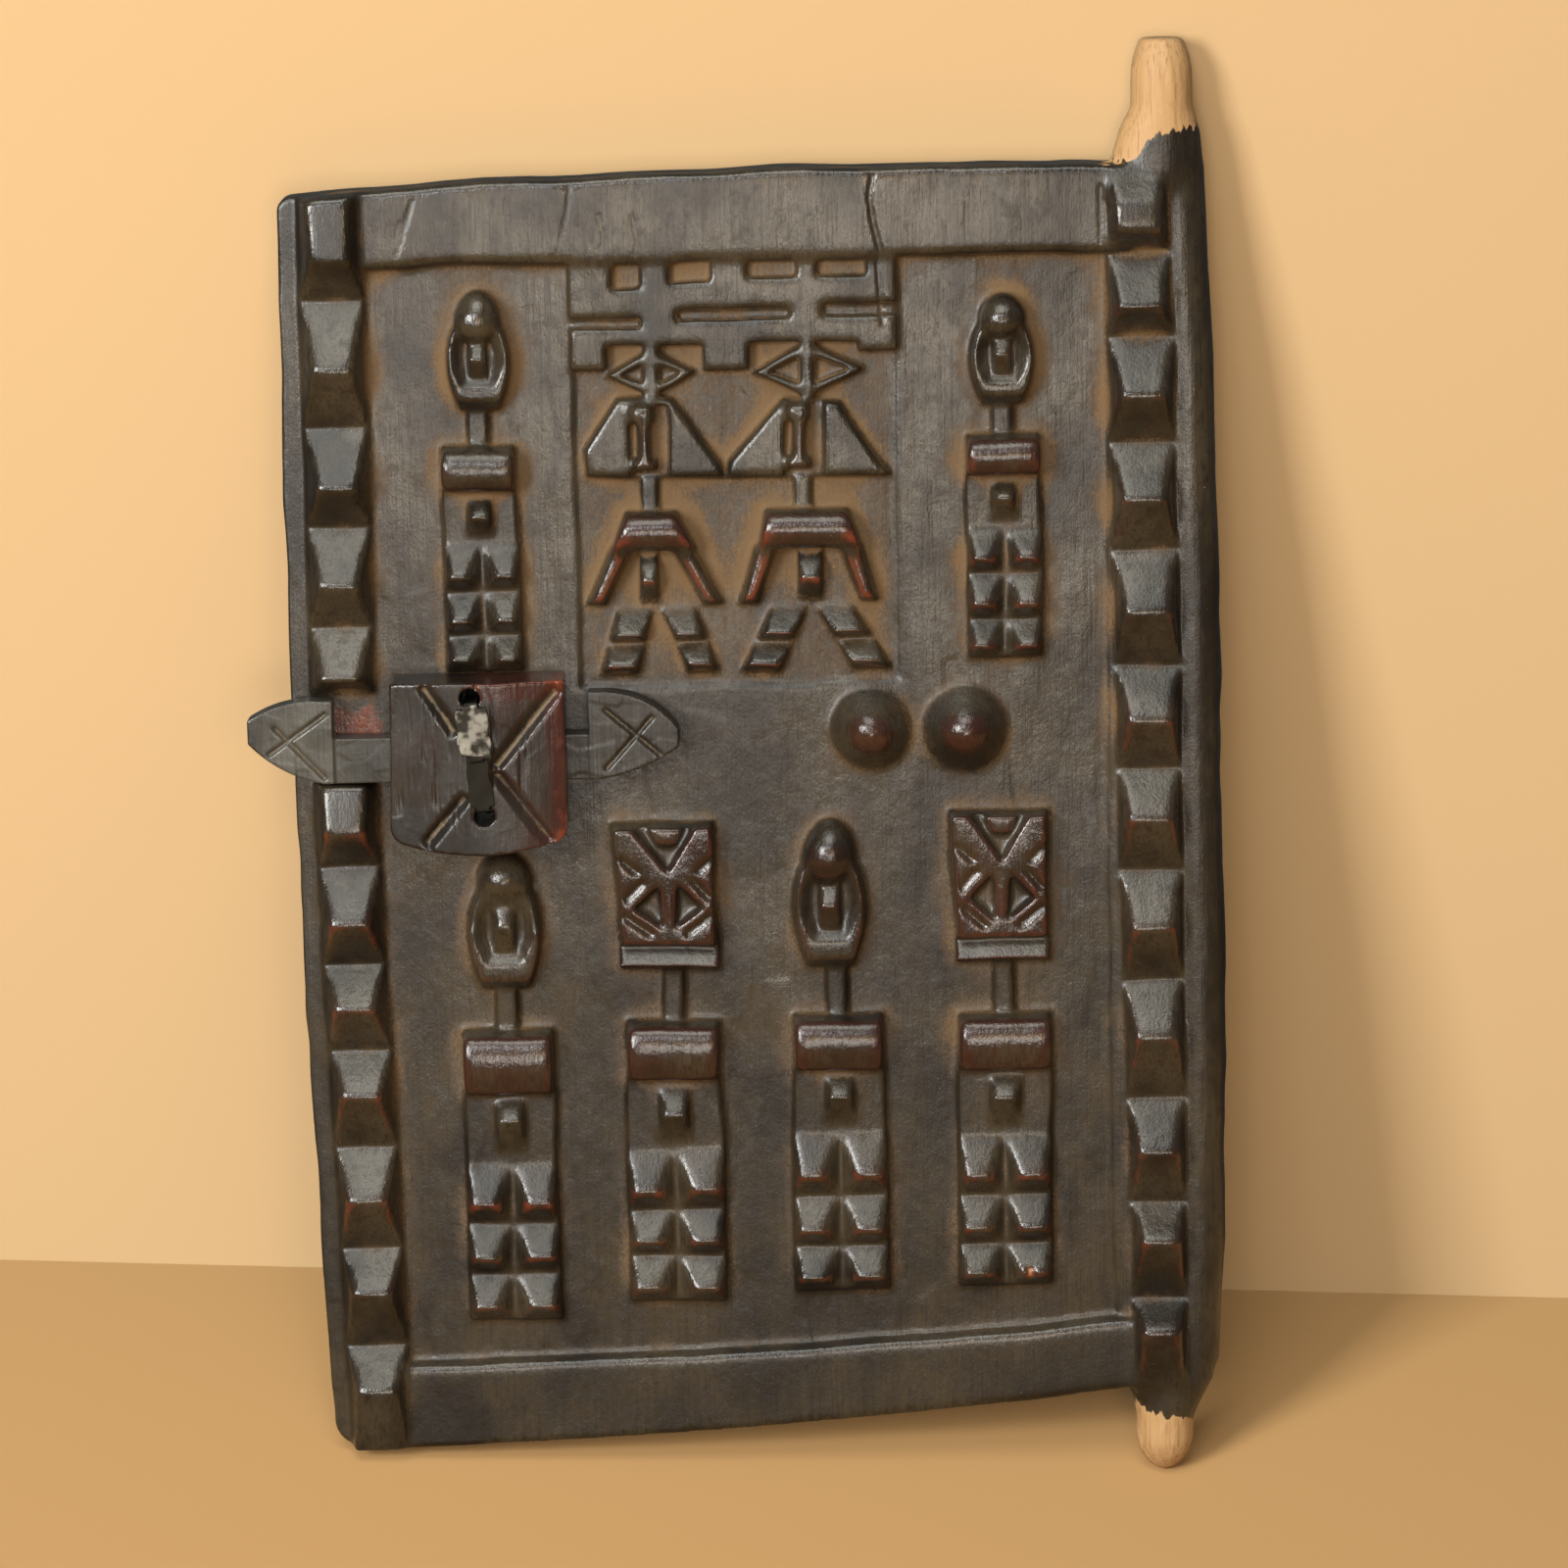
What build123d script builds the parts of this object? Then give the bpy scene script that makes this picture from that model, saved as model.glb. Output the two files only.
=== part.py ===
from build123d import *
from math import cos, pi, radians, sin, sqrt, tan
import os

# Granary door carved from one plank, with a wooden lock case, a sliding wooden bolt and a tin strap.
# Row frame: +X from the closing edge to the hinge post, +Z up, the carved face looks along -Y.
# The origin lies on the pivot axis, half-way along the straight part of the lower pivot peg.
#
# The door is modelled lying on its back: x across, y up the door, z the "level", which is the height
# above the sunken field that the figures stand on. stand_up() turns it into the row frame.

# ---------------------------------------------------------------------------- driving dimensions, mm
plank_thickness = 19.3  # back face to the crests of the teeth
tooth_relief = 8.8  # crests of the teeth above the field
rail_relief = 3.5
notch_level = 1.0  # bottoms of the notches between the teeth
halo_depth = 0.8  # the ground is cut a little deeper round the two dancers
sink = 0.6  # how far a raised form reaches into the wood below it

closing_reach = 198.6  # pivot axis to the closing edge
closing_bow = 1.0  # the closing edge bulges by this
closing_lean = 2.6  # its foot stands this much nearer the hinge
closing_top, crown_top, hinge_top = 293.9, 298.3, 297.4
closing_foot, middle_foot, hinge_foot = -0.2, 3.3, 12.3
top_corner_radius = 3.0
foot_corner_radius = 6.0

post_reach = 14.0  # pivot axis to the hinge edge, where the post is widest
post_inner_reach = 12.5
post_round = 9.6  # how far in the rounding of its hinge edge starts
post_top, post_foot = 297.4, 12.0
peg_taper, bearing_length, peg_end = 13.1, 5.5, 9.8  # top peg: up to its bearing, the bearing, its end
top_pivot_radius, top_tip_radius = 7.0, 4.7
foot_pivot_radius, foot_pivot_from, foot_pivot_to, foot_pivot_tip = 6.7, -2.5, 2.5, -10.3
foot_tip_radius = 1.6
peg_set_back = 0.3  # the pegs are whittled towards the back of the plank, this far from its back face

ridge_base_width = 15.0
closing_crest_width, post_crest_width = 9.4, 10.6
post_foot_narrowing = 0.84  # the post's teeth are this much narrower at its foot
ridge_crown = 0.5  # the teeth are this much lower at their ends than in the middle
closing_ridge_top_x, closing_ridge_middle_x, closing_ridge_foot_x = 12.0, 10.7, 13.6
post_ridge_top_x, post_ridge_middle_x, post_ridge_foot_x = -6.1, -3.4, -1.1
closing_crests = (15.7, 39.4, 61.8, 86.8, 107.8, 127.6, 148.3, 184.5, 206.2, 229.0, 255.6, 279.6)
closing_notches = (24.7, 48.8, 73.1, 96.5, 117.3, 140.1, 181.4, 196.0, 219.3, 242.0, 270.6)
post_crests = (26.5, 48.6, 70.2, 97.4, 123.4, 149.2, 172.0, 196.9, 222.9, 246.3, 266.5, 283.6)
post_notches = (32.8, 56.5, 81.7, 109.9, 136.0, 159.7, 183.8, 210.5, 235.2, 259.3, 278.5)

top_rail_line = 278.0  # lower edge of the top rail
foot_rail_closing, foot_rail_middle, foot_rail_hinge = 20.4, 22.9, 29.2  # upper edge of the bottom rail
rail_slope = 12.0  # degrees that the carved edges lean

# Standing figures: distance from the closing edge, gap to the rail above or below, width over the legs
# and of the mask, how far the mask sits aside, then heights above the soles of the knee, thigh and hip,
# the waist's crest, the chest's foot and top, the chin, the brow and the crown.
lower_figures = {
    "first": ("long", 46.2, 9.4, 21.6, 17.4, 0, (11.7, 23.9, 38.2, 49.5, 55.0, 70.6, 80.2, 101.8, 112.8)),
    "second": ("square", 84.5, 12.2, 22.6, 22.6, -0.6,
               (11.4, 22.4, 36.7, 46.0, 53.8, 68.0, 80.2, 86.4, 114.8)),
    "third": ("long", 122.9, 12.3, 21.8, 17.2, -1.4, (11.0, 23.2, 38.1, 47.7, 53.2, 66.9, 78.4, 98.6, 113.2)),
    "fourth": ("square", 161.2, 10.6, 21.8, 21.8, -0.2,
               (10.5, 22.4, 36.4, 46.4, 52.4, 66.0, 78.2, 84.4, 114.0)),
}
upper_figures = {
    "left": ("long", 43.6, 5.2, 17.2, 15.0, 0.5, (8.3, 18.0, 28.8, 35.5, 40.8, 51.5, 59.3, 75.3, 87.1)),
    "right": ("long", 162.3, 8.2, 17.4, 15.2, 0, (9.0, 19.6, 29.6, 36.9, 41.7, 51.2, 57.8, 73.8, 83.2)),
}
plateau_level = 1.8
leg_level, waist_level, chest_level, chest_edge = 6.6, 6.0, 8.2, 6.4
neck_level, neck_width = 2.4, 5.4
mask_level, nose_level, brow_level = 5.4, 7.2, 8.0
dish_depth, dish_slope = 2.2, 48  # the cheeks lean in to the foot of the nose
chin_bevel_size = 4.2
# Shares of a long mask's width: half the jaw, the temple and the cap's foot, the rim beside the cheeks,
# half the nose, the radius of the cap.
jaw_share, temple_share, cap_foot_share, rim_share, nose_share, cap_share = 0.31, 0.42, 0.34, 0.10, 0.14, 0.36
knife_bands, knife_sides = 7, 16  # flat cuts that round a cap, from crown to brow and across
cap_swell = 0.16  # a cap is an egg, fuller towards the brow
mask_lean = 0.8  # how far the mask's walls lean in
square_mask_level, chin_level = 6.4, 3.0
plate_flare = 1.6  # a square mask's left edge leans out towards its top
# The cuts in one half of a square mask: shares of its half width, and of its height above the chin band.
plate_pit = ((0.22, 0.47), (0.62, 0.32), (0.17, 0.19))
plate_strokes = (((0.97, 0.74), (0.56, 0.60)), ((0.90, 0.38), (0.47, 0.56)), ((0.92, 0.27), (0.32, 0.09)))
mask_pit_depth = 2.6
stroke_width, stroke_depth = 2.0, 1.3

boss_height = 8.4
boss_bands, boss_sides = 4, 24  # flat cuts that round a boss
boss_round, boss_flank = 0.60, 50  # radius of the tip as a share of the boss, slope of its side
bosses = {"left": (131.1, 9.7), "right": (152.8, 10.4)}  # distance from the closing edge, radius
boss_line = 170.0

bolt_line = 160.7  # lower edge of the bolt
bolt_thickness, shank_drop = 6.0, 0.4  # the shank is this much thinner than the heads
shank_height = 10.5
shank_start, shank_end = 8.6, 66.9  # from the closing edge to the shoulders of the two heads
# Each head: length, height, then its tip's height, half the tip's blunt end and how far the upper and
# lower curves have closed in at seven tenths of the length, as shares of the height.
outer_head = (19.5, 19.2, 0.64, 0.14, 0.07, 0.24)
inner_head = (20.6, 20.2, 0.46, 0.10, 0.15, 0.18)
# The crossed cuts on a head, from point to point: shares of its length and of its height.
outer_cuts = (((0.06, 0.86), (0.78, 0.35)), ((0.09, 0.05), (0.70, 0.71)))
inner_cuts = (((0.17, 0.81), (0.81, 0.25)), ((0.17, 0.10), (0.72, 0.72)))
head_cut_width, head_cut_depth = 1.5, 0.9
bolt_clearance = 0.2
channel_clearance = 0.5  # above and below the shank inside the lock case

case_from, case_to = 21.1, 61.7  # from the closing edge
case_below, case_above = 15.6, 24.2  # from the bolt's lower edge
case_thickness = 14.5
case_edge_thickness = 11.6
case_foot_bow = 3.2
case_taper = 1.2  # its closing side leans in towards the top
# The cut X, from point to point: shares of the case's width and height. Its arms miss one another.
case_cuts = (((0.20, 1.0), (0.40, 0.70)), ((0.98, 0.96), (0.60, 0.50)), ((0.60, 0.50), (0.92, 0.05)),
             ((0.45, 0.36), (0.19, 0.05)))
groove_width, groove_depth = 3.3, 1.5
case_corner_radius = 4.0

hole_radius = 2.3
top_hole = (40.5, 20.8)  # from the closing edge, and above the bolt's lower edge
foot_hole = (43.0, -6.5)
strap_thickness = 0.5
strap_neck_width = 3.0
strap_width = 5.2
flap_width = 7.4
flap_length = 13.0
strap_clearance = 0.12
strap_bend = 0.5
strap_bed_depth = 1.1  # the cut in the back that the strap lies in

# ------------------------------------------------------------------------------------ derived values
field_thickness = plank_thickness - tooth_relief
pivot_level = -field_thickness + top_pivot_radius + peg_set_back
top_pivot_from = post_top + peg_taper
top_pivot_to = top_pivot_from + bearing_length
top_pivot_tip = top_pivot_to + peg_end
closing_x = -closing_reach


def from_closing(distance):
    return closing_x + distance


def foot_rail_line(x):
    """Height of the bottom rail's upper edge at x: a shallow curve that climbs towards the hinge."""
    along = (x - closing_x) / closing_reach
    chord = foot_rail_closing + (foot_rail_hinge - foot_rail_closing) * along
    sag = (foot_rail_closing + foot_rail_hinge) / 2 - foot_rail_middle
    return chord - 4 * sag * along * (1 - along)


def across(y):
    """Working plane square to the door's height, at height y: x across, then the level."""
    return Plane(origin=(0, y, 0), x_dir=(1, 0, 0), z_dir=(0, -1, 0))


def stand_up(shape):
    upright = Plane(origin=(0, pivot_level, 0), x_dir=(1, 0, 0), z_dir=(0, -1, 0))
    return upright * shape


# ------------------------------------------------------------------------------------- carved forms
def faceted(points, faces):
    return Solid(Shell([Face(Wire.make_polygon([points[i] for i in face])) for face in faces]))


def hip(foot, top, crest, base, height):
    """A tooth like a hipped roof. foot, top and crest are edges (x left, x right, y)."""
    rings = [[(e[0], e[2], z), (e[1], e[2], z)] for z in (base - sink, base) for e in (foot, top)]
    points = sum(rings, []) + [(crest[0], crest[2], height), (crest[1], crest[2], height)]
    faces = [(0, 1, 3, 2), (0, 1, 5, 4), (1, 3, 7, 5), (3, 2, 6, 7), (2, 0, 4, 6)]
    faces += [(4, 5, 9, 8), (6, 7, 9, 8), (4, 6, 8), (5, 7, 9)]
    return faceted(points, faces)


def inset(corners, distance):
    """The same polygon with every side moved inwards, or outwards when distance is negative."""
    turn = sum(a[0] * b[1] - b[0] * a[1] for a, b in zip(corners, corners[1:] + corners[:1]))
    ring = list(corners) if turn > 0 else list(reversed(corners))
    moved = []
    for before, here, after in zip(ring[-1:] + ring[:-1], ring, ring[1:] + ring[:1]):
        into = (Vector(*here) - Vector(*before)).normalized()
        out = (Vector(*after) - Vector(*here)).normalized()
        left, right = Vector(-into.Y, into.X), Vector(-out.Y, out.X)
        shift = (left + right) * (distance / (1 + left.dot(right)))
        moved.append((here[0] + shift.X, here[1] + shift.Y))
    return ring, moved


def frustum(corners, low, high, slope=rail_slope):
    """A block on a straight-sided outline whose walls lean inwards by the slope in degrees."""
    ring, moved = inset(corners, (high - low) * tan(radians(slope)))
    count = len(ring)
    points = [(x, y, low) for x, y in ring] + [(x, y, high) for x, y in moved]
    faces = [tuple(range(count)), tuple(range(count, 2 * count))]
    faces += [(i, (i + 1) % count, count + (i + 1) % count, count + i) for i in range(count)]
    return faceted(points, faces)


def mesa(x0, x1, y0, y1, base, height, slope=rail_slope):
    """A flat-topped rectangle with sloping sides."""
    return frustum([(x0, y0), (x1, y0), (x1, y1), (x0, y1)], base - sink, height, slope)


def barrel(x0, x1, y0, y1, edge, crown):
    """A block whose front is rounded from its foot to its top."""
    lean = (y1 - y0) * 0.06
    front = ThreePointArc((y0 + lean, edge), ((y0 + y1) / 2, crown), (y1 - lean, edge))
    sides = Polyline((y1 - lean, edge), (y1, -sink), (y0, -sink), (y0 + lean, edge))
    return extrude(Plane.YZ.offset(x0) * make_face([front, sides]), x1 - x0)


def boat(start, end, width, depth):
    """The wood a knife takes out along a line: deepest in the middle, running out at both ends."""
    run = Vector(*end) - Vector(*start)
    length = run.length
    half, lift = width / 2, 1.0
    spread = half * (1 + lift / depth)
    rim = [(-lift, -spread), (length + lift, -spread), (length + lift, spread), (-lift, spread)]
    points = [(x, y, lift) for x, y in rim] + [(half, 0, -depth), (length - half, 0, -depth)]
    cut = faceted(points, [(0, 1, 2, 3), (0, 1, 5, 4), (2, 3, 4, 5), (0, 3, 4), (1, 2, 5)])
    return Plane(origin=start, x_dir=run, z_dir=run.cross(Vector(-run.Y, run.X, 0))) * cut


def pocket(corners, level, depth, slope=18.0):
    """A pit below the given level, with walls that open outwards by the slope."""
    return frustum(corners, level - depth, level + 1.0, -slope)


# --------------------------------------------------------------------------------------- the plank
def plank_outline():
    """Face of the plank: a bowed closing edge, a crowned top and a foot that climbs to the hinge."""
    closing_middle = (closing_x - closing_bow, (closing_top + closing_foot) / 2)
    foot_corner = (closing_x + closing_lean, closing_foot)
    edges = [
        ThreePointArc((closing_x, closing_top), closing_middle, foot_corner),
        ThreePointArc(foot_corner, (closing_x / 2, middle_foot), (0, hinge_foot)),
        Line((0, hinge_foot), (0, hinge_top)),
        ThreePointArc((0, hinge_top), (closing_x / 2, crown_top), (closing_x, closing_top)),
    ]
    outline = make_face(edges)
    corners = outline.vertices().sort_by(Axis.X)[:2].sort_by(Axis.Y)
    outline = fillet(corners[0], foot_corner_radius)
    corner = outline.vertices().filter_by(lambda v: v.Y > closing_top / 2).sort_by(Axis.X)[0]
    return fillet(corner, top_corner_radius)


def rails(outline):
    inner, outer = from_closing(ridge_base_width), -post_inner_reach / 2
    top = [(inner, top_rail_line - 1.6), (inner + 18, top_rail_line), (outer, top_rail_line),
           (outer, crown_top + 5), (inner, crown_top + 5)]
    steps = [inner + (outer - inner) * i / 12 for i in range(13)]
    upper_edge = [(x, foot_rail_line(x)) for x in steps]
    foot = upper_edge + [(outer, closing_foot - 10), (inner, closing_foot - 10)]
    solid_outline = extrude(Pos(0, 0, -sink) * outline, rail_relief + 2 * sink)
    return [frustum(corners, -sink, rail_relief) & solid_outline for corners in (top, foot)]


def post_section(y, reach, inner):
    """Section of the hinge post: flat behind and towards the door, rounded on the hinge edge."""
    back, front = -field_thickness, notch_level
    corner, shoulder = reach - post_round * 0.55, reach - post_round
    curve = ThreePointArc((corner, back), (reach, (back + front) / 2 - 0.6), (shoulder, front))
    rest = Polyline((shoulder, front), (-inner, front), (-inner, back), (corner, back))
    return across(y) * make_face([curve, rest])


def hinge_post():
    """The post, wider in its middle, with a pivot peg whittled on each end."""
    height = post_top - post_foot
    stations = [
        (post_foot, post_reach - 3.4, post_inner_reach - 3.4),
        (post_foot + 0.015 * height, post_reach - 1.6, post_inner_reach - 2.6),
        (post_foot + 0.12 * height, post_reach, post_inner_reach),
        (post_foot + 0.42 * height, post_reach, post_inner_reach),
        (post_foot + 0.72 * height, post_reach - 1.6, post_inner_reach),
        (post_foot + 0.96 * height, post_reach - 3.8, post_inner_reach),
        (post_top, post_reach - 4.4, post_inner_reach - 0.6),
    ]
    bar = loft([post_section(*station) for station in stations], ruled=True)

    def ring(y, across_radius, through_radius, x=0.0):
        return across(y) * Pos(x, pivot_level) * Ellipse(across_radius, through_radius)

    half, thin = post_reach - 3.6, top_pivot_radius * 0.6  # the cones start this wide and thick
    top_cone = loft([ring(post_top - 12, half, thin, -1.0), ring(post_top, half, top_pivot_radius, -0.9),
                     ring(post_top + peg_taper * 0.6, half - 1.4, top_pivot_radius, -0.5),
                     ring(top_pivot_from, top_pivot_radius, top_pivot_radius)], ruled=True)
    foot_cone = loft([ring(post_foot + 12, half, thin, 1.0), ring(post_foot, half, top_pivot_radius, 0.9),
                      ring(post_foot - 4.8, foot_pivot_radius + 1.4, top_pivot_radius, 0.6),
                      ring(foot_pivot_to, foot_pivot_radius, foot_pivot_radius)], ruled=True)
    ends = [(top_pivot_from, top_pivot_to, top_pivot_tip, top_pivot_radius, top_tip_radius),
            (foot_pivot_to, foot_pivot_from, foot_pivot_tip, foot_pivot_radius, foot_tip_radius)]
    return [bar, top_cone, foot_cone] + [pivot_peg(*end) for end in ends]


def pivot_peg(root, shoulder, tip, radius, flat):
    """A straight bearing length, then a rounded end with a small flat."""
    middle = shoulder + (tip - shoulder) * 0.60
    profile = make_face([
        Polyline((0, tip), (0, root), (radius, root), (radius, shoulder)),
        ThreePointArc((radius, shoulder), (flat + (radius - flat) * 0.66, middle), (flat, tip)),
        Line((flat, tip), (0, tip)),
    ])
    return Pos(0, 0, pivot_level) * revolve(profile, Axis.Y)


def toothed_ridge(stations, crest_width, start, crests, notches, finish):
    """A ridge that bends with the edge, cut across into teeth like hipped roofs. Each station along it
    gives y, the ridge's middle x and its share of the full width."""
    sections = []
    side = tooth_relief - ridge_crown
    for y, x, share in stations:
        base, crest = share * ridge_base_width / 2, share * crest_width / 2
        grow = (base - crest) / side * sink
        walls = Polyline((x + crest, side), (x + base + grow, -sink), (x - base - grow, -sink),
                         (x - crest, side))
        top = ThreePointArc((x - crest, side), (x, tooth_relief), (x + crest, side))
        sections.append(across(y) * make_face([walls, top]))
    ridge = loft(sections, ruled=True)
    profile = list(start)
    for i, crest_y in enumerate(crests):
        profile.append((crest_y, tooth_relief))
        if i < len(notches):
            profile.append((notches[i], notch_level))
    profile += finish
    profile += [(finish[-1][0], -2 * sink), (start[0][0], -2 * sink)]
    teeth = extrude(Plane.YZ.offset(-2 * closing_reach) * make_face(Polyline(*profile, close=True)),
                    3 * closing_reach)
    return ridge & teeth


def closing_ridge(outline):
    middle = (closing_top + closing_foot) / 2
    stations = [(closing_foot - 3, from_closing(closing_ridge_foot_x), 1),
                (middle, from_closing(closing_ridge_middle_x), 1),
                (crown_top + 3, from_closing(closing_ridge_top_x), 1)]
    ridge = toothed_ridge(stations, closing_crest_width, [(closing_foot - 3, 3.6)], closing_crests,
                          closing_notches, [(crown_top + 3, 7.2)])
    channel_foot, channel_top = bolt_line - 0.7, bolt_line + outer_head[1] + 0.9
    channel = Pos(closing_x, (channel_foot + channel_top) / 2, 0) * Box(
        4 * ridge_base_width, channel_top - channel_foot, 30, align=(Align.CENTER, Align.CENTER, Align.MIN))
    return (ridge & extrude(Pos(0, 0, -sink) * outline, plank_thickness)) - channel


def post_ridge():
    """The teeth on the post. They run out where the pegs begin."""
    middle = (post_top + post_foot) / 2
    stations = [(post_foot - 8, post_ridge_foot_x, post_foot_narrowing), (middle, post_ridge_middle_x, 1),
                (post_top + 10, post_ridge_top_x, 1)]
    last, run_out = post_crests[-1], peg_taper / 3
    shoulder = last + (post_top - last) * 0.45
    start = [(post_foot - run_out, 2.0), (post_foot, tooth_relief / 2)]
    finish = [(shoulder, tooth_relief - 1.0), (post_top, 2.6), (post_top + run_out, 0.5)]
    ridge = toothed_ridge(stations, post_crest_width, start, post_crests, post_notches, finish)
    side, root = post_reach + ridge_base_width, foot_pivot_radius + 0.6
    silhouette = make_face(Polyline(
        (-root, post_foot - run_out), (-root - 1.4, post_foot), (-side, post_foot), (-side, post_top),
        (-root - 1.4, post_top), (-root, post_top + run_out), (root, post_top + run_out),
        (root + 1.4, post_top), (side, post_top), (side, post_foot), (root + 1.4, post_foot),
        (root, post_foot - run_out), close=True))
    return ridge & extrude(Pos(0, 0, -sink) * silhouette, plank_thickness)


# ----------------------------------------------------------------------------------------- figures
def leg_rows(x, y, width, splits, crest_level):
    """Two legs of three teeth each, with a notch between them."""
    half, gap, parts = width / 2, width * 0.17, []
    for foot, top in zip((0, *splits[:2]), splits):
        crest = y + foot + (top - foot) * 0.36
        for side in (-1, 1):
            left, right = sorted((x + side * half, x + side * 0.4))
            crest_left, crest_right = sorted((x + side * half * 0.90, x + side * gap))
            parts.append(hip((left, right, y + foot + 0.3), (left, right, y + top),
                             (crest_left, crest_right, crest), plateau_level, crest_level))
    return parts


def mask_outline(x, chin, crown, width, trim):
    """An egg with a straight chin, drawn in by the trim all round."""
    height, half, jaw = crown - chin, width / 2 - trim, width * jaw_share - trim
    cap_half, temple_half = width * cap_foot_share - trim / 2, width * temple_share - trim
    cheek, temple, neck_of_cap = (chin + height * share for share in (0.44, 0.66, 0.72))
    foot = chin + trim
    return make_face([
        Line((x - jaw, foot), (x + jaw, foot)),
        ThreePointArc((x + jaw, foot), (x + half, cheek), (x + temple_half, temple)),
        Line((x + temple_half, temple), (x + cap_half, neck_of_cap)),
        EllipticalCenterArc((x, neck_of_cap), cap_half, height * 0.25 - trim, 0, arc_size=180),
        Line((x - cap_half, neck_of_cap), (x - temple_half, temple)),
        ThreePointArc((x - temple_half, temple), (x - half, cheek), (x - jaw, foot)),
    ])


def long_mask(x, chin, brow, crown, width):
    """A narrow face: raised rim, hollow cheeks, long nose and a domed cap."""
    half, height, rim, dish = width / 2, crown - chin, width * rim_share, []
    for side in (-1, 1):
        cheek = [(width * jaw_share - rim * 0.6, 0.20), (half - rim * 1.2, 0.36), (half - rim, 0.50),
                 (width * temple_share - rim, 0.66)]
        dish += [(x + side * out, chin + height * up) for out, up in cheek][::side]
    hollow = inset(dish, dish_depth * tan(radians(dish_slope)))[1]
    nose_half, nose_foot = width * nose_share, chin + height * 0.21
    cap_radius, cap_length = width * cap_share, (crown - brow) / 2 + 0.4
    turns = [pi * (i + 0.3) / (knife_bands + 0.6) for i in range(knife_bands + 1)]
    cap = loft([across(crown - cap_length * (1 - cos(turn))) * Pos(x, brow_level - cap_radius)
                * RegularPolygon(cap_radius * sin(turn) * (1 - cap_swell * cos(turn)), knife_sides)
                for turn in turns], ruled=True)
    body = loft([Pos(0, 0, level) * mask_outline(x, chin, crown, width, trim)
                 for level, trim in ((-sink, 0), (mask_level, mask_lean))], ruled=True)
    head = body - pocket(hollow, mask_level, dish_depth, dish_slope)
    chin_bevel = Pos(x, chin, mask_level) * Rot(X=-40) * Box(width, chin_bevel_size, chin_bevel_size)
    nose = hip((x - nose_half, x + nose_half, nose_foot), (x - nose_half, x + nose_half, brow + 2),
               (x - nose_half * 0.8, x + nose_half * 0.8, nose_foot + (brow - nose_foot) * 0.62), 3.0,
               nose_level)
    return [head - chin_bevel, nose, cap]


def square_mask(x, chin, brow, crown, width):
    """A square face plate with crossed bands and pits, over a rounded chin band."""
    half, height, level = width / 2, crown - brow, square_mask_level
    plate = frustum([(x - half, brow - 0.4), (x + half, brow - 0.4), (x + half, crown),
                     (x - half - plate_flare, crown)], -sink, level, 6)

    def on_plate(across_share, up_share):
        return (x + half * across_share, brow + height * up_share)

    notch = pocket([on_plate(-0.80, 1.07), on_plate(0, 0.65), on_plate(0.66, 1.07)], level, mask_pit_depth)
    tongue = frustum([on_plate(-0.40, 0.985), on_plate(0.40, 0.985), on_plate(0.20, 0.82),
                      on_plate(-0.24, 0.82)], level - mask_pit_depth - sink, level - 1.1, 12)
    cuts = [notch]
    for side in (-1, 1):
        pit = [on_plate(side * out, up) for out, up in plate_pit]
        cuts.append(pocket(pit, level, mask_pit_depth))
        for stroke in plate_strokes:
            ends = [(*on_plate(side * out, up), level) for out, up in stroke]
            cuts.append(boat(*ends, stroke_width, stroke_depth))
    chin_block = mesa(x - half, x + half, chin, brow + 0.4, 0, chin_level, 6)
    chin_band = hip((x - half * 1.02, x + half * 1.02, chin), (x - half * 1.02, x + half * 1.02, brow),
                    (x - half, x + half, chin + (brow - chin) * 0.28), chin_level, level)
    return [plate - cuts, tongue, chin_block, chin_band]


def standing_figure(head, x, y, width, mask_width, aside, levels):
    knee, thigh, hip_top, waist, chest_foot, chest_top, chin, brow, crown = levels
    half = width / 2
    parts = [mesa(x - half - 0.5, x + half + 0.5, y - 0.6, y + chest_foot + 1, -0.2, plateau_level, 20)]
    parts += leg_rows(x, y, width, (knee, thigh, hip_top), leg_level)
    waist_half = width * 0.155
    waist_foot = hip_top + (waist - hip_top) * 0.30
    waist_top = chest_foot - (chest_foot - waist) * 0.18
    parts.append(hip((x - waist_half, x + waist_half, y + waist_foot),
                     (x - waist_half, x + waist_half, y + waist_top),
                     (x - waist_half * 0.94, x + waist_half * 0.94, y + waist), plateau_level, waist_level))
    parts.append(barrel(x - half * 0.96, x + half * 0.96, y + chest_foot, y + chest_top, chest_edge,
                        chest_level))
    parts.append(mesa(x - neck_width / 2, x + neck_width / 2, y + chest_top - 1, y + chin + 1, 0, neck_level))
    mask = long_mask if head == "long" else square_mask
    return parts + mask(x + aside, y + chin, y + brow, y + crown, mask_width)


def all_standing_figures():
    parts = []
    for head, distance, gap, *build, levels in lower_figures.values():
        x = from_closing(distance)
        parts += standing_figure(head, x, foot_rail_line(x) + gap, *build, levels)
    for head, distance, gap, *build, levels in upper_figures.values():
        foot = top_rail_line - gap - levels[-1]
        parts += standing_figure(head, from_closing(distance), foot, *build, levels)
    return parts


# ---------------------------------------------------------------------------- the two masked dancers
# Distances are from the closing edge, drops are below the top rail.
band_level, lozenge_level, hood_level, nose_bar_level = 2.6, 2.6, 2.8, 5.4
band_from, band_to, band_drop = 65.1, 138.2, 18.5
band_stubs = ((band_from, 72.9, 24.1), (95.0, 105.0, 24.3), (129.6, band_to, 20.7))  # left, right, drop
band_windows = ((74.4, 80.7, 5.6), (87.4, 96.9, 4.6), (104.8, 115.8, 4.0), (120.2, 131.7, 3.8))
band_slots = ((band_from - 1, 81.0, 12.3, 14.8), (89.0, 114.3, 10.6, 13.3), (121.4, band_to + 2, 9.8, 12.8))
dancer_panel_drop = 97.0
hood_drop, hood_foot_drop = 30.6, 49.2
bar_width = 2.1  # of a lozenge's sides
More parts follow.
